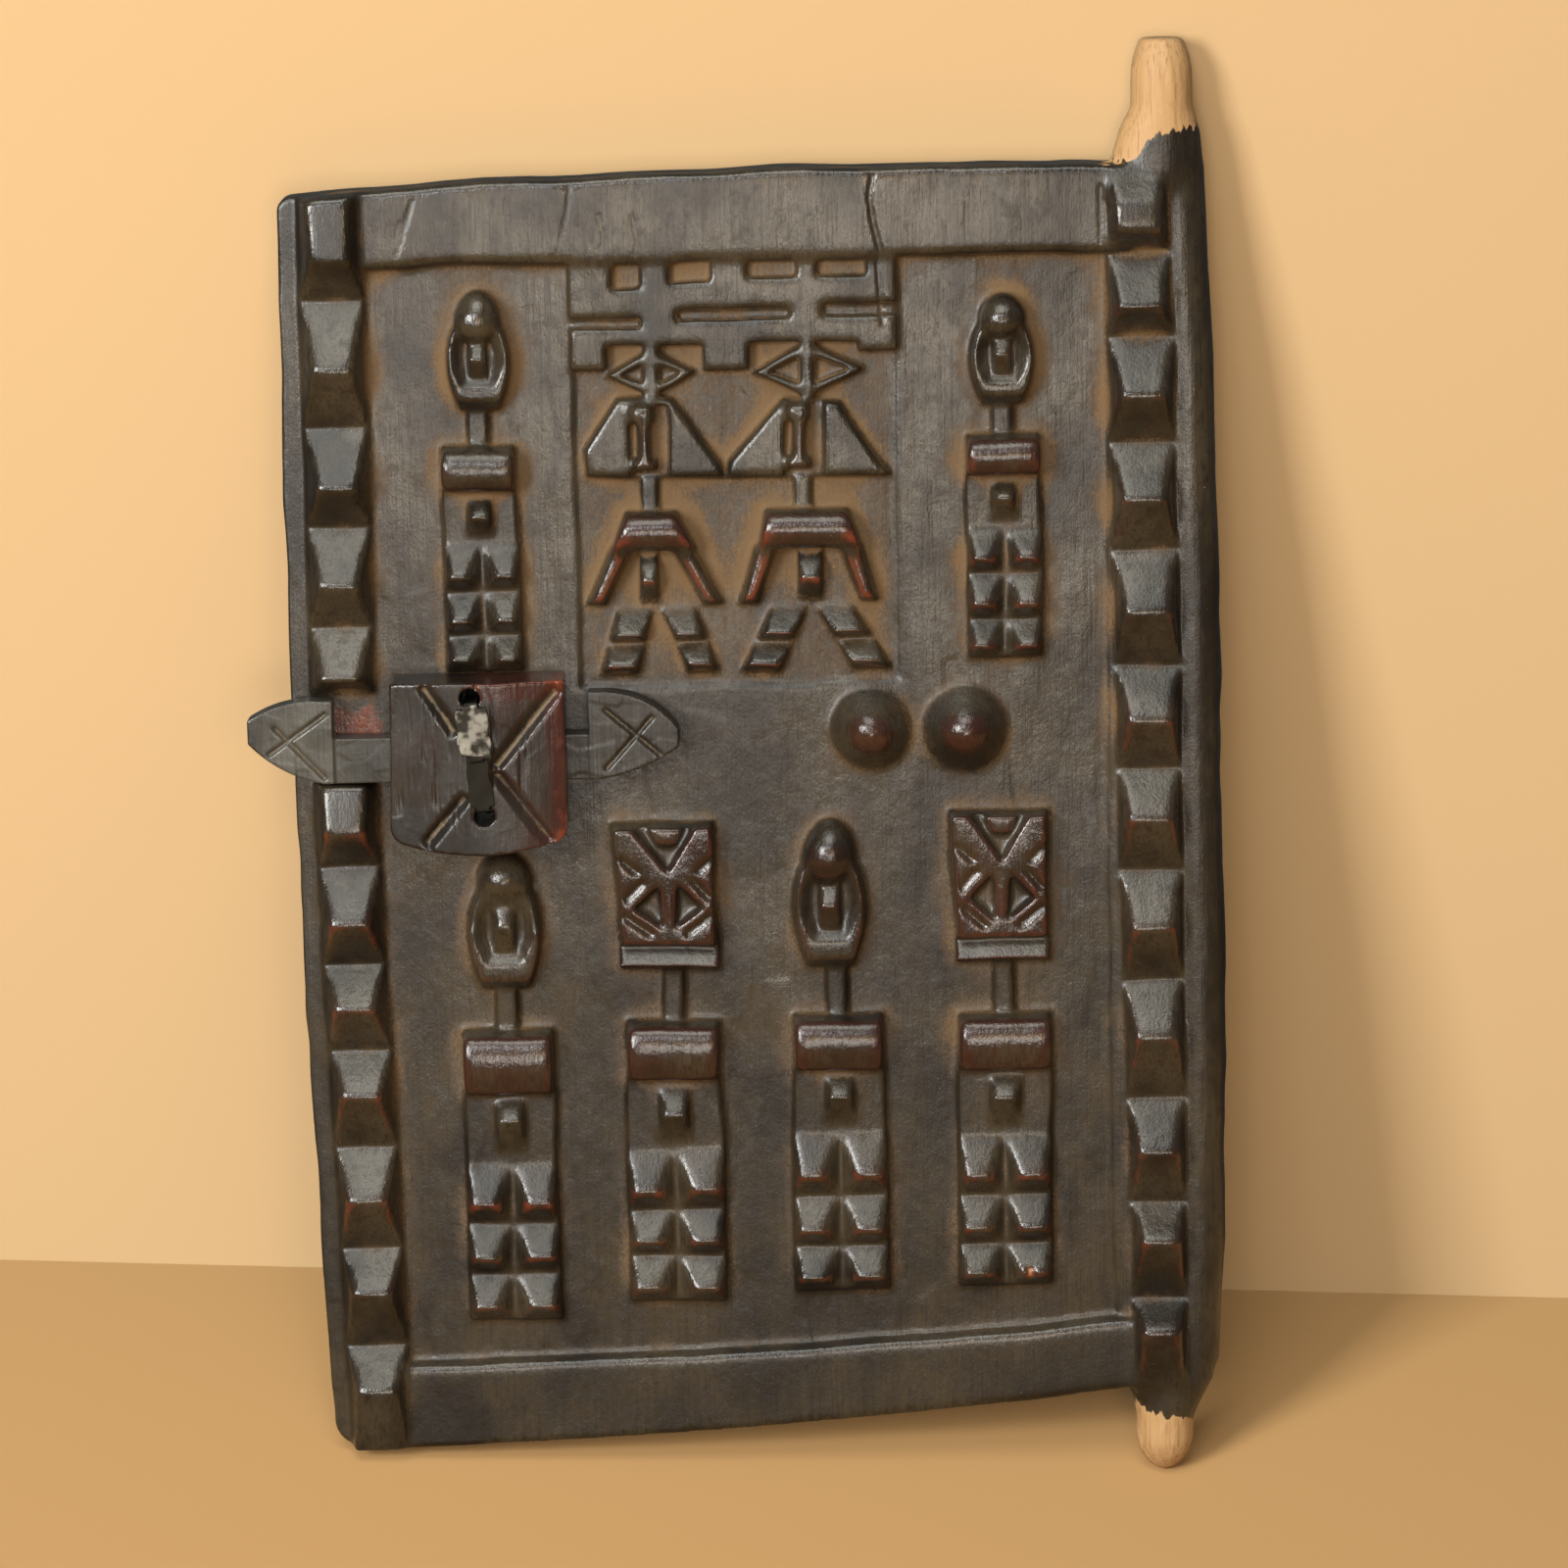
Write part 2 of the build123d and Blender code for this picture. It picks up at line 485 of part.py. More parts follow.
post_half = 1.8
nose_bars = ((-5.2, 0.8, 31.6, 36.4), (-3.6, -0.2, 35.0, 45.4), (-5.0, 1.2, 44.2, 47.2))  # brow, ridge, lip
chest_top_drop, chest_foot_drop, chest_bulge = 56.4, 65.0, 6.8
shoulder_half, hand_half, shoulder_drop, hand_drop, arm_level = 3.1, 2.5, 64.2, 78.2, 4.4
waist_drops, waist_crest = (64.0, 71.8, 77.6), 4.6  # top, crest and foot
leg_rows_drops = ((78.4, 84.6, 86.6, 0.0, 0.54), (86.6, 91.8, 94.4, 0.54, 1.0))  # top, crest, foot, shares
leg_crest = 4.4
dancers = {  # lozenge's four corners and the hood's flare, from the closing edge and below the rail
    "left": dict(post=83.2, lozenge=((72.8, 25.5), (83.3, 19.6), (93.3, 24.5), (83.1, 30.9)),
                 hood=((75.3, 30.4), (87.7, 30.6), (98.8, 46.2), (99.2, 49.4), (67.8, 48.8), (67.3, 42.5)),
                 chest=(73.2, 92.3, 76.5, 88.0), arms=((75.7, 68.8), (88.6, 96.2)), waist=(79.6, 83.6),
                 legs=((74.4, 82.2, 69.8, 78.2), (83.8, 91.2, 89.6, 97.2))),
    "right": dict(post=117.9, lozenge=((105.5, 25.4), (117.9, 18.6), (131.1, 24.8), (117.7, 31.4)),
                  hood=((112.2, 31.1), (125.2, 32.2), (132.8, 43.3), (137.1, 49.2), (99.9, 49.4),
                        (100.2, 45.6)),
                  chest=(106.5, 129.8, 108.2, 127.0), arms=((108.4, 103.8), (127.1, 131.6)),
                  waist=(115.6, 121.0),
                  legs=((109.6, 117.4, 102.0, 110.4), (119.2, 127.2, 127.4, 136.4))),
}


def below_rail(distance, drop):
    return (from_closing(distance), top_rail_line - drop)


def carved_box(left, right, top_drop, foot_drop, low, high):
    """A box cut given from the closing edge and below the rail, between two levels."""
    x0, y1 = below_rail(left, top_drop)
    x1, y0 = below_rail(right, foot_drop)
    size = (x1 - x0, y1 - y0, high - low)
    return Pos((x0 + x1) / 2, (y0 + y1) / 2, (low + high) / 2) * Box(*size)


def mask_band():
    """The fretted band that the two tall masks share, with the wood cut out between its bars."""
    blanks = [carved_box(band_from, band_to, -sink, band_drop, -sink, band_level)]
    blanks += [carved_box(left, right, band_drop - 1, drop, -sink, band_level)
               for left, right, drop in band_stubs]
    cuts = [carved_box(left, right, 0, drop, 0.2, band_level + 1) for left, right, drop in band_windows]
    cuts += [carved_box(*slot, 0.6, band_level + 1) for slot in band_slots]
    return [blanks[0].fuse(*blanks[1:]) - cuts]


def lozenge_frame(post, corners):
    """A lozenge on the mask's post, pierced on both sides of it."""
    bars = frustum([below_rail(*corner) for corner in corners], -sink, lozenge_level, 8)
    left, top, right, foot = corners
    pits = []
    for side, outer in ((1, left), (-1, right)):
        near = post - side * post_half
        pit = [(outer[0] + side * bar_width * 1.6, outer[1]), (near, top[1] + bar_width * 1.7),
               (near, foot[1] - bar_width * 1.6)]
        pits.append(pocket([below_rail(*corner) for corner in pit], lozenge_level, lozenge_level - 0.1, 6))
    return bars - pits


def trunk(chest):
    """A chest wider at its foot, rounded from foot to top."""
    foot_left, foot_right, top_left, top_right = chest
    outline = make_face(Polyline(
        below_rail(foot_left, chest_foot_drop), below_rail(foot_right, chest_foot_drop),
        below_rail(top_right, chest_top_drop), below_rail(top_left, chest_top_drop), close=True))
    low, high = below_rail(0, chest_foot_drop + 1)[1], below_rail(0, chest_top_drop - 1)[1]
    rounded = barrel(from_closing(foot_left - 5), from_closing(foot_right + 5), low, high, 3.0, chest_bulge)
    return extrude(Pos(0, 0, -halo_depth - sink) * outline, 2 * chest_bulge) & rounded


def dancer(post, lozenge, hood, chest, arms, waist, legs):
    """One dancer: the tall mask's post and lozenge, a hood with its nose, chest, arms, waist and legs."""
    x, y = below_rail(post, 0)
    parts = [lozenge_frame(post, lozenge),
             mesa(x - post_half, x + post_half, y - lozenge[3][1], y - band_drop + 2, -0.4, lozenge_level, 4)]
    cowl = frustum([below_rail(*corner) for corner in hood], -sink, hood_level, 10)
    parts.append(cowl - carved_box(post - 5.2, post + 3.8, hood_drop + 1.4, hood_foot_drop + 2, 0.4,
                                   hood_level + 1))
    for left, right, top_drop, foot_drop in nose_bars:
        parts.append(mesa(x + left, x + right, y - foot_drop, y - top_drop, 0, nose_bar_level, 6))
    parts.append(mesa(x - post_half - 1.4, x + 1.4, y - chest_top_drop - 0.6, y - hood_foot_drop + 1,
                      -halo_depth, 1.2))
    parts.append(trunk(chest))
    for shoulder, hand in arms:
        limb = [below_rail(shoulder - shoulder_half, shoulder_drop),
                below_rail(shoulder + shoulder_half, shoulder_drop),
                below_rail(hand + hand_half, hand_drop), below_rail(hand - hand_half, hand_drop)]
        parts.append(frustum(limb, -halo_depth - sink, arm_level))
    ends = [from_closing(end) for end in waist]
    top, crest, foot = ((*ends, y - drop) for drop in waist_drops)
    parts.append(hip(foot, top, crest, -halo_depth, waist_crest))
    for leg in legs:
        parts += [leg_tooth(leg, *row) for row in leg_rows_drops]
    return parts


def leg_tooth(leg, top_drop, crest_drop, foot_drop, start, stop):
    """One tooth of a striding leg, between two shares of the way from the hip to the foot."""
    hip_left, hip_right, foot_left, foot_right = leg

    def edge(share, drop, trim=0.0):
        left = hip_left + (foot_left - hip_left) * share + trim
        right = hip_right + (foot_right - hip_right) * share - trim
        return (from_closing(left), from_closing(right), top_rail_line - drop)

    crest = edge(start + (stop - start) * 0.75, crest_drop, 0.5)
    return hip(edge(stop, foot_drop), edge(start, top_drop), crest, -halo_depth, leg_crest)


def dancer_panel():
    left, top = below_rail(band_from + 0.4, band_drop)
    right, foot = below_rail(band_to - 0.2, dancer_panel_drop)
    return pocket([(left, foot), (right, foot), (right, top), (left, top)], 0, halo_depth, 30)


# ------------------------------------------------------------------------------------------ bosses
def boss(distance, radius):
    """A breast-shaped boss, its flank cut straight and its tip rounded in narrow bands."""
    cap, centre = radius * boss_round, boss_height - radius * boss_round
    turns = [radians(boss_flank) * (i + 0.3) / (boss_bands + 0.3) for i in range(boss_bands, -1, -1)]
    rings = [(-sink, radius), (0, radius)] + [(centre + cap * cos(turn), cap * sin(turn)) for turn in turns]
    place = Pos(from_closing(distance), boss_line, 0)
    return loft([place * Pos(0, 0, level) * RegularPolygon(size, boss_sides) for level, size in rings],
                ruled=True)


# ------------------------------------------------------------------------------------- strap places
def strap_hole(place):
    return (from_closing(place[0]), bolt_line + place[1])


def hole_cutters():
    depth = plank_thickness + case_thickness
    return [Pos(*strap_hole(place), 0) * Cylinder(hole_radius, 2 * depth) for place in (top_hole, foot_hole)]


def strap_frame():
    """Working frame of the strap: y runs from the lower hole to the upper one."""
    foot, top = Vector(*strap_hole(foot_hole)), Vector(*strap_hole(top_hole))
    up = (top - foot).normalized()
    return Plane(origin=(foot.X, foot.Y, 0), x_dir=(up.Y, -up.X, 0), z_dir=(0, 0, 1)), (top - foot).length


def strap_bed():
    frame, length = strap_frame()
    bed = Pos(0, length / 2, -field_thickness) * Box(strap_neck_width + 1.0, length, 2 * strap_bed_depth)
    return frame * bed


# ------------------------------------------------------------------------------------------- pieces
def door_board():
    outline = plank_outline()
    plank = extrude(Pos(0, 0, -field_thickness) * outline, field_thickness) - dancer_panel()
    raised = rails(outline) + hinge_post() + [closing_ridge(outline), post_ridge()]
    raised += all_standing_figures() + mask_band()
    for parts in dancers.values():
        raised += dancer(**parts)
    raised += [boss(*place) for place in bosses.values()]
    board = plank.fuse(*raised)
    return board - hole_cutters() - strap_bed()


def lock_case():
    """A thick case with a bowed face and foot, a channel for the bolt, two holes and a cut X."""
    left, right = from_closing(case_from), from_closing(case_to)
    foot, top = bolt_line - case_below, bolt_line + case_above
    middle = (left + right) / 2
    outline = make_face([
        Polyline((left, foot + case_foot_bow), (left + case_taper, top), (right, top),
                 (right, foot + case_foot_bow)),
        ThreePointArc((right, foot + case_foot_bow), (middle, foot), (left, foot + case_foot_bow)),
    ])
    low_corners = outline.vertices().sort_by(Axis.Y)[:2]
    outline = fillet(low_corners, case_corner_radius)
    section = make_face([
        Polyline((left, case_edge_thickness), (left, 0.05), (right, 0.05), (right, case_edge_thickness)),
        ThreePointArc((right, case_edge_thickness), (middle, case_thickness), (left, case_edge_thickness)),
    ])
    case = extrude(outline, case_thickness + 1) & extrude(across(top + 1) * section, top - foot + 2)
    channel_height = shank_height + 2 * channel_clearance
    channel = Pos(middle, bolt_line + shank_height / 2, 0) * Box(
        2 * (right - left), channel_height, bolt_thickness + 2 * bolt_clearance,
        align=(Align.CENTER, Align.CENTER, Align.MIN))

    def on_face(across_share, up_share):
        x = left + (right - left) * across_share
        bow = (case_thickness - case_edge_thickness) * (2 * across_share - 1) ** 2
        return (x, foot + (top - foot) * up_share, case_thickness - bow)

    grooves = [boat(on_face(*start), on_face(*end), groove_width, groove_depth) for start, end in case_cuts]
    return case - channel - hole_cutters() - grooves


def arrow_head(shoulder, side, length, height, tip, blunt, top_curve, foot_curve):
    """Outline of one head: a straight shoulder, then two curves that meet in a blunt point."""
    end, bulge, inner = (shoulder + side * length * share for share in (1, 0.70, 0.12))
    foot, top, point = bolt_line, bolt_line + height, bolt_line + height * tip
    high, low = point + height * blunt, point - height * blunt
    return make_face([
        Polyline((inner, foot), (shoulder, foot), (shoulder, top), (inner, top)),
        ThreePointArc((inner, top), (bulge, top - height * top_curve), (end, high)),
        Line((end, high), (end, low)),
        ThreePointArc((end, low), (bulge, foot + height * foot_curve), (inner, foot)),
    ])


def sliding_bolt():
    start, end = from_closing(shank_start), from_closing(shank_end)
    shank = Pos((start + end) / 2, bolt_line + shank_height / 2) * Rectangle(end - start + 4, shank_height)
    lift, face = Pos(0, 0, bolt_clearance), bolt_clearance + bolt_thickness
    heads, cuts = [], []
    for shoulder, side, head, strokes in ((start, -1, outer_head, outer_cuts),
                                          (end, 1, inner_head, inner_cuts)):
        heads.append(extrude(lift * arrow_head(shoulder, side, *head), bolt_thickness))
        for stroke in strokes:
            ends = [(shoulder + side * head[0] * along, bolt_line + head[1] * up, face)
                    for along, up in stroke]
            cuts.append(boat(*ends, head_cut_width, head_cut_depth))
    bolt = extrude(lift * shank, bolt_thickness - shank_drop).fuse(*heads)
    return bolt - cuts


def tin_strap():
    """One strip: lower end on the case's face, in at the lower hole, up the back, out at the upper
    hole and folded down over its own lower end."""
    frame, length = strap_frame()
    room = hole_radius - strap_clearance
    reach = sqrt(room**2 - (strap_neck_width / 2) ** 2) - strap_thickness / 2
    front = case_thickness + strap_clearance + strap_thickness / 2
    over = front + strap_thickness + strap_clearance
    back = -field_thickness + strap_bed_depth / 2
    lower, upper = reach, length - reach
    start, finish = lower + length * 0.52, upper - flap_length
    path = FilletPolyline((0, start, front), (0, lower, front), (0, lower, back), (0, upper, back),
                          (0, upper, over), (0, finish, over), radius=strap_bend)
    section = Plane(origin=(0, start, front), x_dir=(1, 0, 0), z_dir=(0, -1, 0)) * Rectangle(
        strap_neck_width, strap_thickness)
    strip = sweep(section, path)
    tongue = mesa_plate(strap_width, lower + strap_bend + 0.6, start, front)
    flap = mesa_plate(flap_width, finish, upper - strap_bend - 0.3, over, 2.0)
    return frame * strip.fuse(tongue, flap)


def mesa_plate(width, y0, y1, level, skew=0.0):
    """A flat wider end of the strap. skew cuts its lower edge at a slant."""
    corners = [(-width / 2, y0 + skew), (width / 2, y0), (width / 2, y1), (-width / 2, y1)]
    face = Pos(0, 0, level - strap_thickness / 2) * make_face(Polyline(*corners, close=True))
    return extrude(face, strap_thickness)


pieces = {
    "door_board": door_board,
    "lock_block": lock_case,
    "sliding_bolt": sliding_bolt,
    "tin_strap": tin_strap,
}

os.makedirs("parts", exist_ok=True)
for name, make in pieces.items():
    piece = stand_up(make())
    export_step(piece, f"parts/{name}.step")
    print(name, round(piece.volume), "mm3")
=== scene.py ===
import math

import bpy
import numpy as np
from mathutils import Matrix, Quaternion, Vector


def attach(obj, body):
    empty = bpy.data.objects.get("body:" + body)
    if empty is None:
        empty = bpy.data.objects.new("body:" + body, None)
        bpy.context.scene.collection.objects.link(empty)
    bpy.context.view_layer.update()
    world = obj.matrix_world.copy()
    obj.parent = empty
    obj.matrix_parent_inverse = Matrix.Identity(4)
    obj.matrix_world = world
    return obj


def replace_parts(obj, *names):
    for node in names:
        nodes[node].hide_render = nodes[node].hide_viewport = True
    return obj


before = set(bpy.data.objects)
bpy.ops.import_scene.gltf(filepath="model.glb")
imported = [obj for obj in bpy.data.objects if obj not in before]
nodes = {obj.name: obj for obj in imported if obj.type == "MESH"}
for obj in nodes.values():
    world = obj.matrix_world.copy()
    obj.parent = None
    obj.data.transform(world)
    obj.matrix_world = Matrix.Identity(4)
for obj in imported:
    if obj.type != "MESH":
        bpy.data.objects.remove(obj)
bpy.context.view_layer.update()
scene = bpy.context.scene
mm = 0.001  # the skins are carved in millimetres and written back in metres
print("frame loaded:", ", ".join(sorted(nodes)))


# Carving tools. They work on arrays of points in millimetres.
def lumps(points, size, seed):  # smooth random heights from -1 to 1, one lump per size in mm
    scaled = points / np.array(size, float)
    low = np.floor(scaled)
    part = scaled - low
    part = part * part * (3 - 2 * part)
    cells = (low - low.min(axis=0)).astype(np.int64)
    span = cells.max(axis=0) + 2
    heights = np.random.default_rng(seed).uniform(-1, 1, span.prod())
    index = (cells[:, 0] * span[1] + cells[:, 1]) * span[2] + cells[:, 2]
    total = np.zeros(len(points))
    for i, j, k in ((i, j, k) for i in (0, 1) for j in (0, 1) for k in (0, 1)):
        weight = np.ones(len(points))
        for axis, step in enumerate((i, j, k)):
            weight *= part[:, axis] if step else 1 - part[:, axis]
        total += weight * heights[index + (i * span[1] + j) * span[2] + k]
    return total


def knifeFlats(across, along, width, length, seed):  # flat cuts side by side, each leaning its own way
    column, row = np.floor(across / width).astype(np.int64), np.floor(along / length).astype(np.int64)
    column0, row0 = column.min() - 1, row.min() - 1
    span = (column.max() - column0 + 2, row.max() - row0 + 2)
    shiftX, shiftZ, leanX, leanZ, drop = np.random.default_rng(seed).uniform(-1, 1, (5, *span))
    best, height = np.full(len(across), 1e9), np.zeros(len(across))
    for dx in (-1, 0, 1):
        for dz in (-1, 0, 1):
            cell = (column - column0 + dx, row - row0 + dz)
            u = across / width - (column + dx + 0.5 + 0.42 * shiftX[cell])
            v = along / length - (row + dz + 0.5 + 0.42 * shiftZ[cell])
            closer = u * u + v * v < best
            best = np.where(closer, u * u + v * v, best)
            height = np.where(closer, u * leanX[cell] + 0.6 * v * leanZ[cell] + 0.35 * drop[cell], height)
    return height


def smoothStep(value, start, end):
    t = np.clip((value - start) / (end - start), 0, 1)
    return t * t * (3 - 2 * t)


def spot(points, x, z, halfWidth, halfHeight, soft):  # 1 on a rounded patch of the face, 0 outside it
    aside, up = abs(points[:, 0] - x) - halfWidth, abs(points[:, 2] - z) - halfHeight
    return 1 - smoothStep(np.hypot(np.maximum(aside, 0), np.maximum(up, 0)), 0, soft)


def lineGap(points, line):  # from each point, across the face, to a line of corners; and how far along it
    flat = points[:, [0, 2]]
    best, along, run = np.full(len(points), 1e9), np.zeros(len(points)), 0.0
    total = sum(math.dist(a, b) for a, b in zip(line, line[1:]))
    for start, end in zip(line, line[1:]):
        start, leg = np.array(start, float), np.array(end, float) - np.array(start, float)
        share = np.clip(((flat - start) @ leg) / (leg @ leg), 0, 1)
        gap = np.linalg.norm(flat - start - share[:, None] * leg, axis=1)
        closer = gap < best
        best = np.where(closer, gap, best)
        along = np.where(closer, (run + share * np.linalg.norm(leg)) / total, along)
        run += np.linalg.norm(leg)
    return best, along


def surroundings(points, level, facing, reach, cell=0.5):  # mean level of the carved face within reach
    column, row = (((points[:, i] - points[:, i].min()) / cell).astype(int) for i in (0, 2))
    span = (column.max() + 1, row.max() + 1)
    spread = max(1, round(reach / cell / 2))
    sums = []
    for weight in (level * facing, facing):
        grid = np.bincount(column * span[1] + row, weight, span[0] * span[1]).reshape(span)
        for axis in (0, 1, 0, 1):
            pads = [(spread + 1, spread) if axis == other else (0, 0) for other in (0, 1)]
            total = np.moveaxis(np.cumsum(np.pad(grid, pads), axis=axis), axis, 0)
            grid = np.moveaxis(total[2 * spread + 1:] - total[:-2 * spread - 1], 0, axis)
        sums.append(grid[column, row])
    return sums[0] / np.maximum(sums[1], 1e-9)


class Skin:
    # An even skin of small quads over a CAD solid, held as arrays while it is carved.
    def __init__(self, node, voxel):
        raw = bpy.data.objects.new(node + "Raw", nodes[node].data.copy())
        scene.collection.objects.link(raw)
        even = raw.modifiers.new("even", "REMESH")
        even.mode = "VOXEL"
        even.voxel_size = voxel * 1 * mm  # voxel size given in mm
        depsgraph = bpy.context.evaluated_depsgraph_get()
        depsgraph.update()
        self.mesh = bpy.data.meshes.new_from_object(raw.evaluated_get(depsgraph))
        bpy.data.objects.remove(raw)
        count = len(self.mesh.vertices)
        flat = np.zeros(count * 3, np.float32)
        self.mesh.vertices.foreach_get("co", flat)
        self.points = flat.reshape(-1, 3).astype(float) / mm
        pairs = np.zeros(len(self.mesh.edges) * 2, np.int32)
        self.mesh.edges.foreach_get("vertices", pairs)
        self.ends = pairs.reshape(-1, 2)
        self.degree = np.maximum(np.bincount(pairs, minlength=count), 1)
        self.marks = {}

    def mean(self, values):  # each point's value becomes the mean of its neighbours'
        a, b = self.ends[:, 0], self.ends[:, 1]
        columns = values.reshape(len(self.points), -1)
        total = [np.bincount(a, c[b], len(c)) + np.bincount(b, c[a], len(c)) for c in columns.T]
        return (np.stack(total, axis=1) / self.degree[:, None]).reshape(values.shape)

    def blur(self, values, rounds):
        for _ in range(rounds):
            values = 0.5 * values + 0.5 * self.mean(values)
        return values

    def soften(self, rounds):  # rounds edges off without shrinking the whole
        for _ in range(rounds):
            for pull in (0.62, -0.40):
                self.points += (self.mean(self.points) - self.points) * pull

    def normals(self):
        self.write()
        flat = np.zeros(len(self.points) * 3, np.float32)
        self.mesh.vertices.foreach_get("normal", flat)
        return flat.reshape(-1, 3).astype(float)

    def bulge(self, rounds):  # how far each point stands proud of its surroundings, in mm
        return ((self.points - self.blur(self.points, rounds)) * self.normals()).sum(axis=1)

    def write(self):
        self.mesh.vertices.foreach_set("co", (self.points * mm).astype(np.float32).ravel())
        self.mesh.update()

    def finish(self, name, body, material, keep):  # keep is the share of faces that stay
        self.write()
        for mark, values in self.marks.items():
            layer = self.mesh.attributes.new(mark, "FLOAT", "POINT")
            layer.data.foreach_set("value", np.clip(values, 0, 1).astype(np.float32))
        piece = bpy.data.objects.new(name, self.mesh)
        scene.collection.objects.link(piece)
        thin = piece.modifiers.new("thin", "DECIMATE")
        thin.ratio = keep
        depsgraph = bpy.context.evaluated_depsgraph_get()
        depsgraph.update()
        thinned = bpy.data.meshes.new_from_object(piece.evaluated_get(depsgraph))
        piece.modifiers.clear()
        piece.data = thinned
        thinned.shade_smooth()
        thinned.materials.clear()
        thinned.materials.append(material)
        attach(piece, body)
        print(name, "carved:", len(thinned.polygons), "faces")
        return piece


# Material tools
def linear(code):  # sRGB hex to the linear colour that shaders take
    parts = [int(code[i:i + 2], 16) / 255 for i in (1, 3, 5)]
    return [c / 12.92 if c <= 0.04045 else ((c + 0.055) / 1.055) ** 2.4 for c in parts] + [1.0]


def addNode(tree, kind, settings=None, **inputs):  # an input is a value, a socket or a node to link from
    node = tree.nodes.new("ShaderNode" + kind)
    for key, value in (settings or {}).items():
        setattr(node, key, value)
    for key, value in inputs.items():
        socket = node.inputs[int(key[1:])] if key[1:].isdigit() else node.inputs[key.replace("_", " ")]
        if isinstance(value, bpy.types.Node):
            value = next(output for output in value.outputs if output.enabled)
        if isinstance(value, bpy.types.NodeSocket):
            tree.links.new(value, socket)
        else:
            socket.default_value = value
    return node


def emptyMaterial(name):
    material = bpy.data.materials.new(name)
    material.use_nodes = True
    material.node_tree.nodes.clear()
    return material, material.node_tree


# Patterns of old carved wood: width and height of one lump in mm, and how many finer layers it has
woodPatterns = {
    "cloud": (21.0, 27.0, 4.0),  # uneven smoke and wax
    "mottle": (2.6, 3.6, 4.0),  # spots where hands or damp took the black off
    "fibre": (0.6, 17.0, 4.0),  # fibres, drawn twice as coarse as real ones so that they show
    "grit": (0.55, 0.75, 2.0),  # grains of dried earth
}
setIn = {"interpolation_type": "SMOOTHSTEP"}
# Where each layer shows: the mark that places it, its pattern, how far the pattern frays its edge, then the
# values between which it sets in, and how much of it there is at most
woodLayers = {
    "smoke": (None, "cloud", 1.0, 0.34, 0.66, 1.0),
    "fibres": (None, "fibre", 1.0, 0.46, 0.70, 0.50),
    "spots": (None, "mottle", 1.0, 0.50, 0.70, 0.60),
    "rubbedAndShaded": ("rubbedAndShaded", "fibre", 1.20, 0.85, 1.90, 0.92),
    "wornAndShading": ("wornAndShading", "mottle", 1.00, 0.70, 1.40, 0.85),
    "burnished": ("polish", "mottle", 0.60, 0.40, 0.90, 1.0),
    "earthAndShade": ("earthAndShade", "mottle", 1.20, 0.70, 1.70, 0.85),
    "grains": ("earthAndShade", "grit", 1.30, 1.00, 1.60, 0.50),
    "flecks": (None, "grit", 1.0, 0.76, 0.80, 0.75),
    "bare": ("bare", "fibre", 0.10, 0.40, 0.62, 1.0),
    "bareFibres": ("bare", "fibre", 2.0, 2.0, 2.4, 0.75),
}


def waxedWood(name, look):
    # African hardwood cut with adze and knife, blackened with smoke and oil and then rubbed by hands: a
    # wax sheen over near-black, maroon where the black is rubbed thin, brick red on the most worn lips, kept
    # to their undersides as painted shading, brown earth dried in the hollows and the same brown as painted
    # shade on sides turned from the key lamp, and bare tan wood where the pegs turn in their sockets. On the
    # bolt the near-black of its inner head is a painted shadow. Wax has an IOR of about 1.45; smoke and oil
    # rubbed into it for years shine more.
    material, tree = emptyMaterial(name)
    place = addNode(tree, "TexCoord").outputs["Object"]
    patterns = {}
    for pattern, (width, height, detail) in woodPatterns.items():
        perMetre = (1 / width / mm, 1 / width / mm, 1 / height / mm)
        scaled = addNode(tree, "Mapping", None, Vector=place, Scale=perMetre)
        lumpy = {"Vector": scaled, "Scale": 1.0, "Detail": detail, "Roughness": 0.6}
        patterns[pattern] = addNode(tree, "TexNoise", None, **lumpy)
    colour, rough = linear(look["black"]), look["sheen"]
    for layer, (mark, pattern, fray, low, high, most) in woodLayers.items():
        if layer not in look["layers"]:
            continue
        where = 0.0
        if mark:
            where = addNode(tree, "Attribute", {"attribute_name": mark}).outputs["Fac"]
        where = addNode(tree, "Math", {"operation": "MULTIPLY_ADD"}, i0=patterns[pattern], i1=fray, i2=where)
        share = addNode(tree, "MapRange", setIn, i0=where, i1=low, i2=high, i3=0.0, i4=most)
        tone, gloss = look["layers"][layer]
        if tone:
            colour = addNode(tree, "Mix", {"data_type": "RGBA"}, i0=share, i6=colour, i7=linear(tone))
        rough = addNode(tree, "Mix", None, i0=share, i2=rough, i3=gloss)
    bump = None
    for pattern, (strength, height) in look["bumps"].items():
        relief = {"Strength": strength, "Distance": height * mm, "Height": patterns[pattern]}
        if bump:
            relief["Normal"] = bump
        bump = addNode(tree, "Bump", None, **relief)
    shader = addNode(tree, "BsdfPrincipled", None, Base_Color=colour, Roughness=rough, Normal=bump)
    shader.inputs["IOR"].default_value = look["ior"]
    addNode(tree, "OutputMaterial", None, Surface=shader)
    return material


